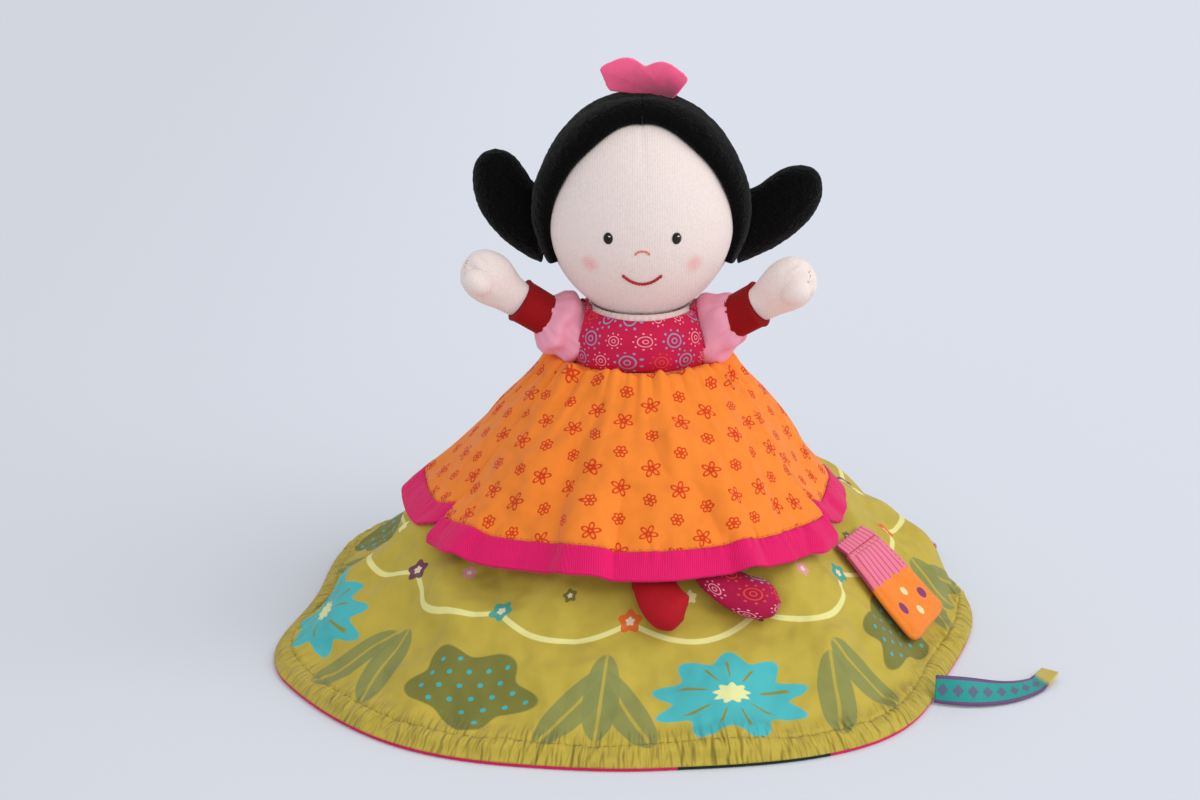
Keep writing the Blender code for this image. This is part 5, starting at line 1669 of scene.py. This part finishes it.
@dataclass
class Crown:
    """The flat felt crown, with two round lobes and two pointed ends."""

    form: DollForm = UPPER
    width: float = 0.042
    height: float = 0.0155
    thickness: float = 0.0029
    tilt: float = 7.0
    sunk: float = 1.4 * MM
    rounding: float = 0.55 * MM
    felt: Felt = Felt("pink_felt", "FF6390")

    def outline(self) -> list[Vector]:
        """Return the points round the crown's flat outline, from one foot to the other."""
        half = ((0.0, 0.78), (0.05, 0.86), (0.11, 0.955), (0.19, 1.0), (0.27, 0.965), (0.335, 0.88),
                (0.385, 0.795), (0.44, 0.72), (0.50, 0.56), (0.468, 0.41), (0.43, 0.22),
                (0.385, 0.02), (0.35, -0.07))
        right = [Vector((x * self.width, y * self.height, 0.0)) for x, y in half]
        line = [Vector((-p.x, p.y, 0.0)) for p in reversed(right[1:])] + right
        for _ in range(2):
            cut = [line[0]]
            for near, far in zip(line, line[1:]):
                cut += [near.lerp(far, 0.25), near.lerp(far, 0.75)]
            line = cut + [line[-1]]
        return line

    def is_flat(self, edge: bmesh.types.BMEdge, within: float) -> bool:
        """Return whether an edge keeps to one level, but for a given height."""
        return abs(edge.verts[0].co.z - edge.verts[1].co.z) <= within

    def build(self) -> list[Piece]:
        """Build the crown standing in the hair."""
        bm = bmesh.new()
        bm.loops.layers.uv.new("UVMap")
        face = bm.faces.new([bm.verts.new(p) for p in self.outline()])
        made = bmesh.ops.extrude_face_region(bm, geom=[face])["geom"]
        top = [v for v in made if isinstance(v, bmesh.types.BMVert)]
        bmesh.ops.translate(bm, vec=(0, 0, self.thickness), verts=top)
        bmesh.ops.translate(bm, vec=(0, 0, -self.thickness / 2), verts=bm.verts)
        rims = [e for e in bm.edges if self.is_flat(e, self.thickness / 2)]
        bmesh.ops.subdivide_edges(bm, edges=rims, cuts=2, use_grid_fill=False, smooth=0.0)
        rims = [e for e in bm.edges if self.is_flat(e, 1e-6) and len(e.link_faces) == 2]
        bmesh.ops.bevel(bm, geom=rims, offset=self.rounding, segments=2, profile=0.5,
                        affect="EDGES", material=-1)
        for vert in bm.verts:
            vert.co += Vector((1, 1, 0)) * 0.22 * MM * ripple(vert.co, 1.1 * MM, 3.0)
            vert.co.z += 1.1 * MM * ripple(Vector((vert.co.x, 0, 0)), 22 * MM, 8.0)
        high = self.form.head_z + self.form.head[2] + 0.0055 + 0.0016
        stand = Matrix.Translation(Vector((0.0, 0.0, high - self.sunk)))
        stand = stand @ Matrix.Rotation(radians(self.tilt), 4, "Y")
        upright = stand @ Matrix.Rotation(radians(90), 4, "X")
        bmesh.ops.transform(bm, matrix=upright, verts=bm.verts)
        face_outwards(bm)
        return [add_piece("felt_crown_piece", bm, self.felt.material(), Body.CROWN, "pink_felt",
                          ["felt_crown"])]


@dataclass
class Bodice:
    """A stuffed bodice on the waist seam, dented by the chin and the shoulders."""

    form: DollForm
    cloth: Cotton
    slot: str
    bottom: float = 0.0036
    girth: float = 0.215
    closed_below: float = 0.06
    closed_above: float = 0.86
    squareness: float = 0.86
    shares: Shares = (
        (0.0, 0.95), (0.18, 1.0), (0.50, 0.99), (0.72, 0.93), (0.88, 0.80), (1.0, 0.60),
    )

    def body_share(self, along: float) -> float:
        """Return how far up the sides a point is, between the two closed ends."""
        return clamped((along - self.closed_below) / 0.80)

    def build(self) -> list[Piece]:
        """Build the bodice."""
        form = self.form
        width, depth, height = form.bodice
        bottom = self.bottom
        chin = Vector((0.0, 0.0, form.head_z))
        radii = Vector(form.head) + Vector((0.003, 0.012, 0.003))
        shoulders = [form.arm(side)[0] for side in Side]
        ball = Vector([form.sleeve_radius + 0.0006] * 3)

        def place(around: float, along: float) -> Vector:
            """Place a point of the bodice."""
            turn = 2 * pi * around
            body = self.body_share(along)
            rise = eased(body)
            closing = min(along / self.closed_below, 1.0)
            if along > self.closed_above:
                closing = sqrt(max(1 - ((along - self.closed_above) / 0.14) ** 2, 0.0))
            swell = smooth_between(self.shares, rise) * closing
            x = abs(cos(turn)) ** self.squareness * copysign(width / 2, cos(turn)) * swell
            y = abs(sin(turn)) ** self.squareness * copysign(depth / 2, sin(turn)) * swell
            point = Vector((x, y, WAIST_Z + form.up * (bottom + (height - bottom) * rise)))
            gathers = 0.5 * MM * mottle(around * 34, along * 2, 1.0) * max(1 - body * 2.2, 0.0)
            crease = 0.45 * MM * ripple(point, 12 * MM, 5.0) + gathers
            out = Vector((x, y, 0.0)).normalized() if swell > 0.05 else Vector()
            point += out * (crease - 0.4 * MM)
            point = keep_out(point, chin, radii)
            for shoulder in shoulders:
                point = keep_out(point, shoulder, ball)
            return point

        def cut(around: float, along: float) -> tuple[float, float]:
            """Return the point on the flat cloth."""
            sides = (height - bottom) * 1.06 * eased(self.body_share(along))
            return (around * self.girth, sides + max(along - self.closed_above, 0.0) * 0.2)

        bm = stuffed(170, 92, place, self.girth, 0.078, cut)
        return [add_piece(f"{form.prefix}cotton_bodice", bm, self.cloth.material(), Body.TORSO,
                          self.slot, [f"{form.prefix}bodice"])]


@dataclass
class Waist:
    """The sewn oval at the waist that holds both bodices and the skirts."""

    cloth: Cotton
    height: float = 0.0066

    def build(self) -> list[Piece]:
        """Build the seam as a soft roll of cloth."""

        def place(around: float, along: float) -> Vector:
            """Place a point of the roll."""
            turn, section = 2 * pi * around, pi * (along - 0.5)
            reach = cos(section) ** 0.35 if abs(along - 0.5) < 0.5 else 0.0
            x = cos(turn) * (WAIST_WIDTH / 2 - FIT_GAP) * reach
            y = sin(turn) * (WAIST_DEPTH / 2 - FIT_GAP) * reach
            return Vector((x, y, WAIST_Z + sin(section) * self.height / 2))

        bm = stuffed(96, 18, place, 0.2, 0.07)
        return [add_piece("waist_roll", bm, self.cloth.material(), Body.TORSO, "rose_print",
                          ["waist_seam"])]


@dataclass
class Arm:
    """A puffed sleeve at the shoulder, its cuff and a mitten hand with sewn fingers."""

    form: DollForm
    side: Side
    sleeve_cloth: Cotton
    cuff_cloth: Cotton
    skin: Velour
    sleeve_slot: str
    cuff_slot: str
    fingers: Thread = Thread("brown_thread", "B48672", 0.7)

    @property
    def body(self) -> str:
        """The name of the body that the arm rides on."""
        return f"{self.form.prefix}arm_{self.side.word}"

    def piece(self, name: str, node: str, bm: Mesh, finish: Cotton | Velour | Thread,
              body: str, slot: str, fill: float = 0.0) -> Piece:
        """Add one of the arm's pieces, named for its doll and its side.

        Args:
            name: the piece's own name.
            node: the CAD node that it replaces, or an empty text for none.
            bm: its mesh.
            finish: its cloth or thread.
            body: the body that it rides on.
            slot: the record's material slot.
            fill: not used.

        Returns:
            The piece.
        """
        full = f"{self.form.prefix}%s_{self.side.word}"
        stands_for = [full % node] if node else []
        return add_piece(full % name, bm, finish.material(), body, slot, stands_for)

    def build(self) -> list[Piece]:
        """Build the arm's pieces."""
        return [self.sleeve(), self.cuff(), *self.hand()]

    def sleeve(self) -> Piece:
        """Build the puff, gathered at the shoulder and at the cuff, laid along the arm."""
        form = self.form
        shoulder, along, level, up = form.arm(self.side)
        radius = form.sleeve_radius
        seed, ridge_count, start = (11.0, 3.2, 1.2) if self.side is Side.LEFT else (29.0, 1.9, 3.6)

        def place(around: float, length: float) -> Vector:
            """Place a point of the puff."""
            turn = 2 * pi * around
            section = pi * length
            centre = -cos(section) * radius
            wide = sin(section) ** 0.72
            folds = mottle(cos(turn) * 1.9, sin(turn) * 1.9, seed + length * 1.4)
            fine = mottle(cos(turn) * 4.4, sin(turn) * 4.4, seed + 5 + length * 2.4)
            ridges = sin(length * ridge_count * 2 * pi + 1.6 * folds + start)
            deep = 1.0 + 0.06 * folds + 0.05 * fine + 0.105 * ridges * sin(section)
            out = level * cos(turn) + up * sin(turn)
            reach = min(radius * 0.99 * wide * deep, radius * 1.08)
            return shoulder + along * (centre + 0.4 * MM * fine) + out * reach

        bm = stuffed(120, 100, place, 0.097, 0.05)
        bmesh.ops.remove_doubles(bm, verts=bm.verts, dist=0.02 * MM)
        return self.piece("puffed_sleeve", "sleeve", bm, self.sleeve_cloth, Body.TORSO,
                          self.sleeve_slot, 0.6)

    def cuff(self) -> Piece:
        """Build the cuff, hollowed where it meets the sleeve's ball."""
        form = self.form
        shoulder, along, level, up = form.arm(self.side)
        start, end = form.sleeve_radius * 0.75, form.sleeve_radius + form.cuff_length
        ball = Vector([form.sleeve_radius + FIT_GAP] * 3)

        def place(around: float, length: float) -> Vector:
            """Place a point of the cuff."""
            turn = 2 * pi * around
            body = clamped((length - 0.05) / 0.9)
            closing = min(length / 0.05, (1 - length) / 0.05, 1.0)
            flare = 1.0 + 0.05 * body + 0.045 * bump(body, 1.0, 0.16)
            wave = 1.0 + 0.035 * sin(2 * turn + 1.0)
            wave += 0.03 * mottle(cos(turn) * 1.6, sin(turn) * 1.6, body * 1.5)
            reach = form.cuff_radius * flare * wave * closing
            out = level * cos(turn) + up * sin(turn)
            return keep_out(shoulder + along * (start + (end - start) * body) + out * reach,
                            shoulder, ball)

        bm = stuffed(80, 44, place, 0.062, 0.018)
        return self.piece("cotton_cuff", "cuff", bm, self.cuff_cloth, self.body, self.cuff_slot,
                          0.7)

    def hand(self) -> list[Piece]:
        """Build the mitten hand, its thumb and the stitches between its fingers."""
        form = self.form
        shoulder, along, level, up = form.arm(self.side)
        length, width, thick = form.hand
        begin = form.sleeve_radius + form.cuff_length + FIT_GAP

        def path(t: float) -> Vector:
            """Return the hand's middle line."""
            return shoulder + along * (begin + length * t) + up * 0.003 * (1 - cos(pi * t)) / 2

        tube = swept(path, thick / 2, width / 2, HAND_SHARES, HAND_SHARES, level)
        grooves = (-0.46, 0.0, 0.46)

        def place(around: float, share: float) -> Vector:
            """Place a point of the mitten, drawn in between its fingers."""
            point = tube(around, share)
            t = eased(share)
            middle = path(t)
            off = point - middle
            across = off.dot(up) / (width / 2)
            front = max(-off.dot(level), 0.0) / (thick / 2)
            drawn = sum(bump(across, g, 0.17) for g in grooves) * bump(t, 0.93, 0.25)
            drawn *= min(front * 1.6, 1.0)
            lumps = 0.35 * MM * ripple(point, 8 * MM, 7.0)
            if off.length <= 1e-6:
                return point
            return middle + off * (1 - 0.20 * drawn) + off.normalized() * lumps

        bm = stuffed(96, 72, place, 0.07, 0.035)
        size = 0.0065 * width / 0.025
        thumb = path(0.74) - level * (thick / 2 - size * 0.35) - up * size * 0.5
        ball = bmesh.new()
        ball.loops.layers.uv.new("UVMap")
        bmesh.ops.create_uvsphere(ball, u_segments=32, v_segments=24, radius=size)
        bmesh.ops.scale(ball, vec=(1.15, 1.0, 0.92), verts=ball.verts)
        turn = along.to_track_quat("X", "Z").to_matrix().to_4x4()
        bmesh.ops.transform(ball, matrix=Matrix.Translation(thumb) @ turn, verts=ball.verts)
        join_in(bm, ball)
        hand = self.piece("velour_hand", "hand", bm, self.skin, self.body, "velour", 0.85)
        sewn = bmesh.new()
        for groove in grooves:
            points = []
            for step in range(26):
                t = 0.74 + 0.25 * step / 25
                wide = width / 2 * smooth_between(HAND_SHARES, t)
                deep = thick / 2 * smooth_between(HAND_SHARES, t)
                fall = sqrt(max(1 - groove * groove, 0.0))
                sunk = 1.0 - 0.16 * bump(t, 0.93, 0.25)
                points.append(path(t) + up * wide * groove - level * deep * fall * sunk)
            Stitches(1.6 * MM, 0.7 * MM, 0.26 * MM).row(sewn, points)
        return [hand, self.piece("finger_stitches", "", sewn, self.fingers, self.body, "velour")]


@dataclass
class Leg:
    """A flat stuffed leg and its boot, which lie on the skirt."""

    side: Side
    leg_cloth: Cotton
    boot_cloth: Cotton
    form: SkirtForm = FORM
    cloth: float = 0.0012
    left_lie: tuple[float, ...] = (-104.0, -85.0, 6.5, 0.0430)
    right_lie: tuple[float, ...] = (-56.0, -69.0, 13.0, 0.0440)
    hip_z: float = 0.116
    ankle_z: float = 0.0600
    leg_size: tuple[float, float] = (0.020, 0.0095)
    boot_size: tuple[float, float] = (0.023, 0.0135)

    def build(self) -> list[Piece]:
        """Build the leg, and the boot with its middle seam."""
        left = self.side is Side.LEFT
        hip, ankle, turn_to, low = self.left_lie if left else self.right_lie
        ankle_z, gap, cloth = self.ankle_z, FIT_GAP, self.cloth
        (leg_width, leg_depth), (boot_width, boot_depth) = self.leg_size, self.boot_size
        leg_lift = cloth / 2 + 2 * gap + leg_depth / 2
        boot_lift = cloth / 2 + cloth + boot_depth / 2

        def leg_path(t: float) -> Vector:
            """Return the leg's middle line."""
            angle = hip + (ankle - hip) * sin(t * pi / 2)
            z = self.hip_z + (ankle_z + gap - self.hip_z) * t
            return self.form.on_green(angle, z, leg_lift)

        def boot_path(t: float) -> Vector:
            """Return the boot's middle line."""
            lift = leg_lift + (boot_lift - leg_lift) * eased(t)
            z = ankle_z - gap + (low - ankle_z) * (0.55 * sin(t * pi / 2) + 0.45 * t)
            return self.form.on_green(ankle + turn_to * t ** 1.5, z, lift)

        across = self.form.on_green(ankle + 1.0, ankle_z) - self.form.on_green(ankle, ankle_z)
        leg_tube = swept(leg_path, leg_width / 2, leg_depth / 2, LEG_SHARES, LEG_SHARES, across)
        boot_tube = swept(boot_path, boot_width / 2, boot_depth / 2, BOOT_WIDTH_SHARES,
                          BOOT_THICKNESS_SHARES, across)

        def boot_place(around: float, along: float) -> Vector:
            """Place a point of the boot, with a soft groove along its middle seam."""
            point = boot_tube(around, along)
            middle = boot_path(eased(along))
            off = point - middle
            groove = bump(around, 0.25, 0.03) * bump(along, 0.5, 0.5)
            lump = off.normalized() * 0.25 * MM * ripple(point, 7 * MM, 3.0)
            return middle + off * (1 - 0.05 * groove) + lump

        word, made = self.side.word, []
        boot_slot = "red_cotton" if left else "maroon_print"
        for node, tube, cloth_look, slot, size in (
            ("leg", leg_tube, self.leg_cloth, "red_cotton", (0.05, 0.06)),
            ("boot", boot_place, self.boot_cloth, boot_slot, (0.058, 0.04)),
        ):
            piece = add_piece(f"cotton_{node}_{word}", stuffed(72, 60, tube, *size),
                              cloth_look.material(), f"leg_{word}", slot, [f"{node}_{word}"])
            gathers_up(piece)
            made.append(piece)
        return made


@dataclass
class Flap:
    """The padded flap on the skirt and the strip that its upper edge is sewn down with."""

    form: SkirtForm = FORM
    cloth: FlapPrint = FlapPrint("flap_cotton", "F7882E", creases=0.6 * MM)
    thread: Thread = Thread("flap_thread", "F6B26B")
    thickness: float = 0.0042
    top: float = 0.052
    bottom: float = 0.0125
    start: float = -24.6
    sweep: float = 15.0
    base: float = 0.0006 + 0.0019
    strip: float = 0.004
    rounding: float = 7.5 * MM
    inset: float = 3.0 * MM
    sewn_points: int = 481

    def at(self, across: float, down: float, lift: float) -> Vector:
        """Return a point of the flap over the green skirt."""
        angle = self.start + self.sweep * across - 3.5 * down * (1 - across)
        z = self.top + (self.bottom - self.top) * down
        return self.form.on_green(angle, max(z, self.form.green_bottom), lift)

    def build(self) -> list[Piece]:
        """Build the flap, its edge stitches and the strip."""
        base, reach, half = self.base, self.rounding, self.thickness / 2
        height = self.top - self.bottom
        share = self.strip / height
        width = (self.at(1, 0.5, 0) - self.at(0, 0.5, 0)).length

        def crowned(across: float, down: float, outer: bool) -> Vector:
            """Place a point of the flap's outer or inner face."""
            near = min(across, 1 - across) * width
            end = min(down, 1 - down) * height * 2.0
            off = max(reach - near, reach - end, 0.0)
            if down > 0.5:
                off = hypot(max(reach - near, 0.0), max(reach - end, 0.0))
            edge = 1 - min(off / reach, 1.0)
            full = sqrt(1 - (1 - edge) ** 2)
            seam = 1 - 0.35 * bump(edge * reach, self.inset, 1.3 * MM)
            puff = half * full * seam * (1.25 if outer else 1.0)
            lump = 0.45 * MM * mottle(across * 4, down * 5, 2.0) * full
            lift = base + half + (puff + lump if outer else -puff)
            if off > reach:
                pull = (1 - reach / off) * 0.5
                across += (0.5 - across) * pull * 0.7
                down += (0.5 - down) * pull * 0.7
            return self.at(across, share + FIT_GAP / height + (1 - share) * down, lift)

        cut = flat_cloth(self.cloth.width, self.cloth.height)
        bm = woven(56, 72, lambda u, v: crowned(u, v, True), cut)
        join_in(bm, woven(56, 72, lambda u, v: crowned(u, v, False), cut))
        bmesh.ops.remove_doubles(bm, verts=bm.verts, dist=0.01 * MM)
        face_outwards(bm)
        pad = add_piece("padded_flap_piece", bm, self.cloth.material(), Body.FLAP, "orange_pad",
                        ["padded_flap"])
        line = []
        inset_u, inset_v = self.inset / width, self.inset / (height * 2.0)
        stand_off = Vector((0.1 * MM, 0, 0.12 * MM))
        for i in range(self.sewn_points):
            t = i / (self.sewn_points - 1) * 4
            u, v = ((t, 0.0), (1.0, t - 1), (3 - t, 1.0), (0.0, 4 - t))[min(int(t), 3)]
            u, v = inset_u + u * (1 - 2 * inset_u), inset_v + v * (1 - 2 * inset_v)
            line.append(crowned(u, v, True) + stand_off)
        sewn = bmesh.new()
        Stitches(1.9 * MM, 0.8 * MM, 0.2 * MM).row(sewn, line)
        seam = add_piece("flap_stitches", sewn, self.thread.material(), Body.FLAP, "orange_pad")

        def strip_place(across: float, down: float) -> Vector:
            """Place a point of the strip, which rises over the flap's upper edge."""
            at = (share + 0.6 * MM / height) * down - FIT_GAP / height
            return self.at(across, at, base + 0.75 * MM + 2.0 * MM * down)

        strip_bm = woven(40, 8, strip_place, flat_cloth(self.cloth.width, self.strip), Vector())
        strip = add_piece("flap_strip_piece", strip_bm, pad.data.materials[0], Body.TORSO,
                          "orange_pad",
                          ["flap_strip"], 0.0015)
        gathers_up(pad, seam, strip)
        return [pad, seam, strip]


@dataclass
class Ribbons:
    """The ribbon tag and the ribbon loop that leave the hem on the right."""

    form: SkirtForm = FORM
    width: float = 0.013
    thickness: float = 0.0009
    wall: float = 0.0007
    tag_angle: float = -36.0
    loop_angle: float = 27.5
    bend: float = 0.00225
    loop_reach: float = 0.013
    tag: Ribbon = Ribbon("tag_ribbon", "0F9C94", "6A4A7A", "D9C25A", 0.013, 0.066)
    loop: Ribbon = Ribbon("loop_ribbon", "0F9C94", "E79BB0", "0F9C94", 0.013, 0.10)

    def hem_point(self, angle: float) -> Vector:
        """Return the point where a ribbon leaves the hem."""
        radius = self.form.green_radius(angle, self.form.green_bottom)
        radius += 0.00195 + FIT_GAP + self.thickness / 2
        return self.form.point(angle, radius, 0.0)

    def build(self) -> list[Piece]:
        """Build the tag, which twists to lie on the floor, and the loop."""
        start, outward = self.hem_point(self.tag_angle), radians(self.tag_angle)
        half = self.width / 2

        def tag_place(across: float, down: float) -> Vector:
            """Place a point of the tag."""
            heading = outward + radians(63.0) * (0.35 + 0.65 * down)
            run = 0.6 * MM + self.tag.length * down
            centre = start + Vector((cos(heading), sin(heading), 0.0)) * run
            lean = radians(92.0 * (1 - down) ** 1.15 - 14.0)
            side = Vector((-sin(heading), cos(heading), 0.0)) * cos(lean) + UP * sin(lean)
            curl = 0.4 * MM * sin(down * 9) * across
            rise = UP * (1.2 * MM + half * abs(sin(lean)) + curl)
            return centre + rise + side * half * (2 * across - 1)

        bm = woven(14, 90, tag_place, flat_cloth(self.width, self.tag.length))
        face_outwards(bm)
        tag = add_piece("tag_ribbon_piece", bm, self.tag.material(), Body.TAG, "teal_ribbon",
                        ["ribbon_tag"], self.wall)
        turn = radians(self.loop_angle)
        out_way, level = Vector((cos(turn), sin(turn), 0)), Vector((-sin(turn), cos(turn), 0))
        first = self.hem_point(self.loop_angle)
        bend, straight = self.bend, self.loop_reach - self.bend
        whole = 2 * straight + pi * bend

        def loop_place(across: float, down: float) -> Vector:
            """Place a point of the loop."""
            run = down * whole
            if run <= straight:
                out, up = run, -bend
            elif run >= whole - straight:
                out, up = whole - run, bend
            else:
                out = straight + bend * sin((run - straight) / bend)
                up = -bend * cos((run - straight) / bend)
            belly = 1 + 0.25 * bump(out, straight, straight)
            rise = bend + self.thickness + up * belly + 0.6 * MM * (belly - 1)
            return first + out_way * out + UP * rise + level * self.width * (across - 0.5)

        bm = woven(14, 60, loop_place, flat_cloth(self.width, whole))
        face_outwards(bm)
        loop = add_piece("loop_ribbon_piece", bm, self.loop.material(), Body.LOOP, "teal_ribbon",
                         ["ribbon_loop"], self.wall)
        return [tag, loop]


@dataclass
class Studio:
    """The pale floor with painted shade towards its left, the soft lights and the camera."""

    floor: str = "E4E8F1"
    # painted shade: the darker colour that the floor takes on its left
    shaded: str = "D9DDE5"
    fall: tuple[float, float] = (-0.5, 0.05)
    air: float = 0.69
    floor_size: float = 14.0
    camera_place: tuple[float, float, float] = (-0.0196, -1.1145, 0.4836)
    camera_tilt: float = 71.626
    lens: float = 72.0

    def build(self) -> list[Piece]:
        """Set up the studio."""
        scene = bpy.context.scene
        scene.view_settings.view_transform = "Standard"
        bm = bmesh.new()
        bmesh.ops.create_grid(bm, x_segments=1, y_segments=1, size=self.floor_size / 2)
        mesh = bpy.data.meshes.new("floor")
        bm.to_mesh(mesh)
        bm.free()
        ground = bpy.data.objects.new("floor", mesh)
        scene.collection.objects.link(ground)
        paper = Graph("pale_paper", 0.9, specular=0.05)
        x, _, _ = paper.split(paper.place())
        # painted shade: the floor grows darker towards its left, away from the window light
        colour = paper.mix(x.step(*self.fall), self.shaded, self.floor)
        mesh.materials.append(paper.paint(colour))
        world = bpy.data.worlds.new("studio_air")
        world.use_nodes = True
        sky = world.node_tree.nodes["Background"].inputs
        sky["Color"].default_value = (0.95, 0.97, 1.0, 1.0)
        sky["Strength"].default_value = self.air
        scene.world = world
        for name, energy, spread, toward, tint in (
            ("window_light", 1.15, 56.0, (0.78, -0.24, 0.58), (1.0, 0.99, 0.97)),
            ("room_light", 0.36, 70.0, (0.05, -0.84, 0.42), (0.99, 0.99, 1.0)),
        ):
            lamp = bpy.data.lights.new(name, "SUN")
            lamp.energy = energy
            lamp.angle = radians(spread)
            lamp.color = tint
            holder = bpy.data.objects.new(name, lamp)
            holder.rotation_euler = Vector(toward).to_track_quat("Z", "Y").to_euler()
            scene.collection.objects.link(holder)
        camera = bpy.data.cameras.new("camera")
        camera.lens = self.lens
        camera.sensor_width = 36.0
        camera.clip_end = 50.0
        viewer = bpy.data.objects.new("camera", camera)
        viewer.location = self.camera_place
        viewer.rotation_euler = (radians(self.camera_tilt), 0.0, 0.0)
        scene.collection.objects.link(viewer)
        scene.camera = viewer
        return [ground]


@dataclass
class TopsyTurvyDoll:
    """The whole object: two dolls, the skirts, the legs, the flap and the ribbons."""

    rose: RingPrint = RingPrint("rose_print_cotton", "CB1C4A", creases=0.7 * MM, sheen=0.08)
    boot_print: RingPrint = RingPrint("maroon_print_cotton", "B01645", sheen=0.08,
                                      creases=0.6 * MM, spacing=11.5 * MM, ring=3.6 * MM)
    red: Cotton = Cotton("red_cotton", "B01420", creases=0.6 * MM, crease_size=9 * MM, sheen=0.05)
    dark_red: Cotton = Cotton("dark_red_cotton", "960C10", creases=0.5 * MM, crease_size=7 * MM,
                              sheen=0.03)
    pink: Cotton = Cotton("pink_cotton", "F6A6BC", creases=0.5 * MM, crease_size=6 * MM)
    teal: Cotton = Cotton("teal_cotton", "2C9A98")
    plum: Cotton = Cotton("plum_cotton", "5E2A55")
    black_plush: Plush = Plush("black_plush", "0A0909", "241F1F")
    brown_plush: Plush = Plush("brown_plush", "4A2814", "7A4A2A")
    hands: Velour = Velour("hand_velour", CREAM_SKIN)
    lower_hands: Velour = Velour("lower_hand_velour", BROWN_SKIN)

    def parts(self) -> list[object]:
        """Return the sub-assemblies in the order that they are built."""
        made: list[object] = [
            GreenSkirt(), Overskirt(), Waist(self.rose),
            Head(UPPER), Hair(UPPER, self.black_plush, "black_plush"), Crown(),
            Bodice(UPPER, self.rose, "rose_print"),
            Leg(Side.LEFT, self.red, self.red), Leg(Side.RIGHT, self.red, self.boot_print),
            Flap(), Ribbons(),
            Head(LOWER, skin=BROWN_SKIN), Hair(LOWER, self.brown_plush, "brown_plush"),
            Bodice(LOWER, self.plum, "plum"),
        ]
        for side in Side:
            made.append(Arm(UPPER, side, self.pink, self.dark_red, self.hands, "pink_cotton",
                            "dark_red"))
            made.append(Arm(LOWER, side, self.teal, self.plum, self.lower_hands, "teal_cotton",
                            "plum"))
        return made


def main() -> None:
    """Dress the frame piece by piece."""
    logging.basicConfig(level=logging.INFO, format="%(name)s: %(message)s")
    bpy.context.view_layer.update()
    Studio().build()
    for part in TopsyTurvyDoll().parts():
        pieces = part.build()
        LOG.info("%s built: %s", type(part).__name__, ", ".join(piece.name for piece in pieces))
    bpy.context.view_layer.update()


if __name__ == "__main__":
    main()
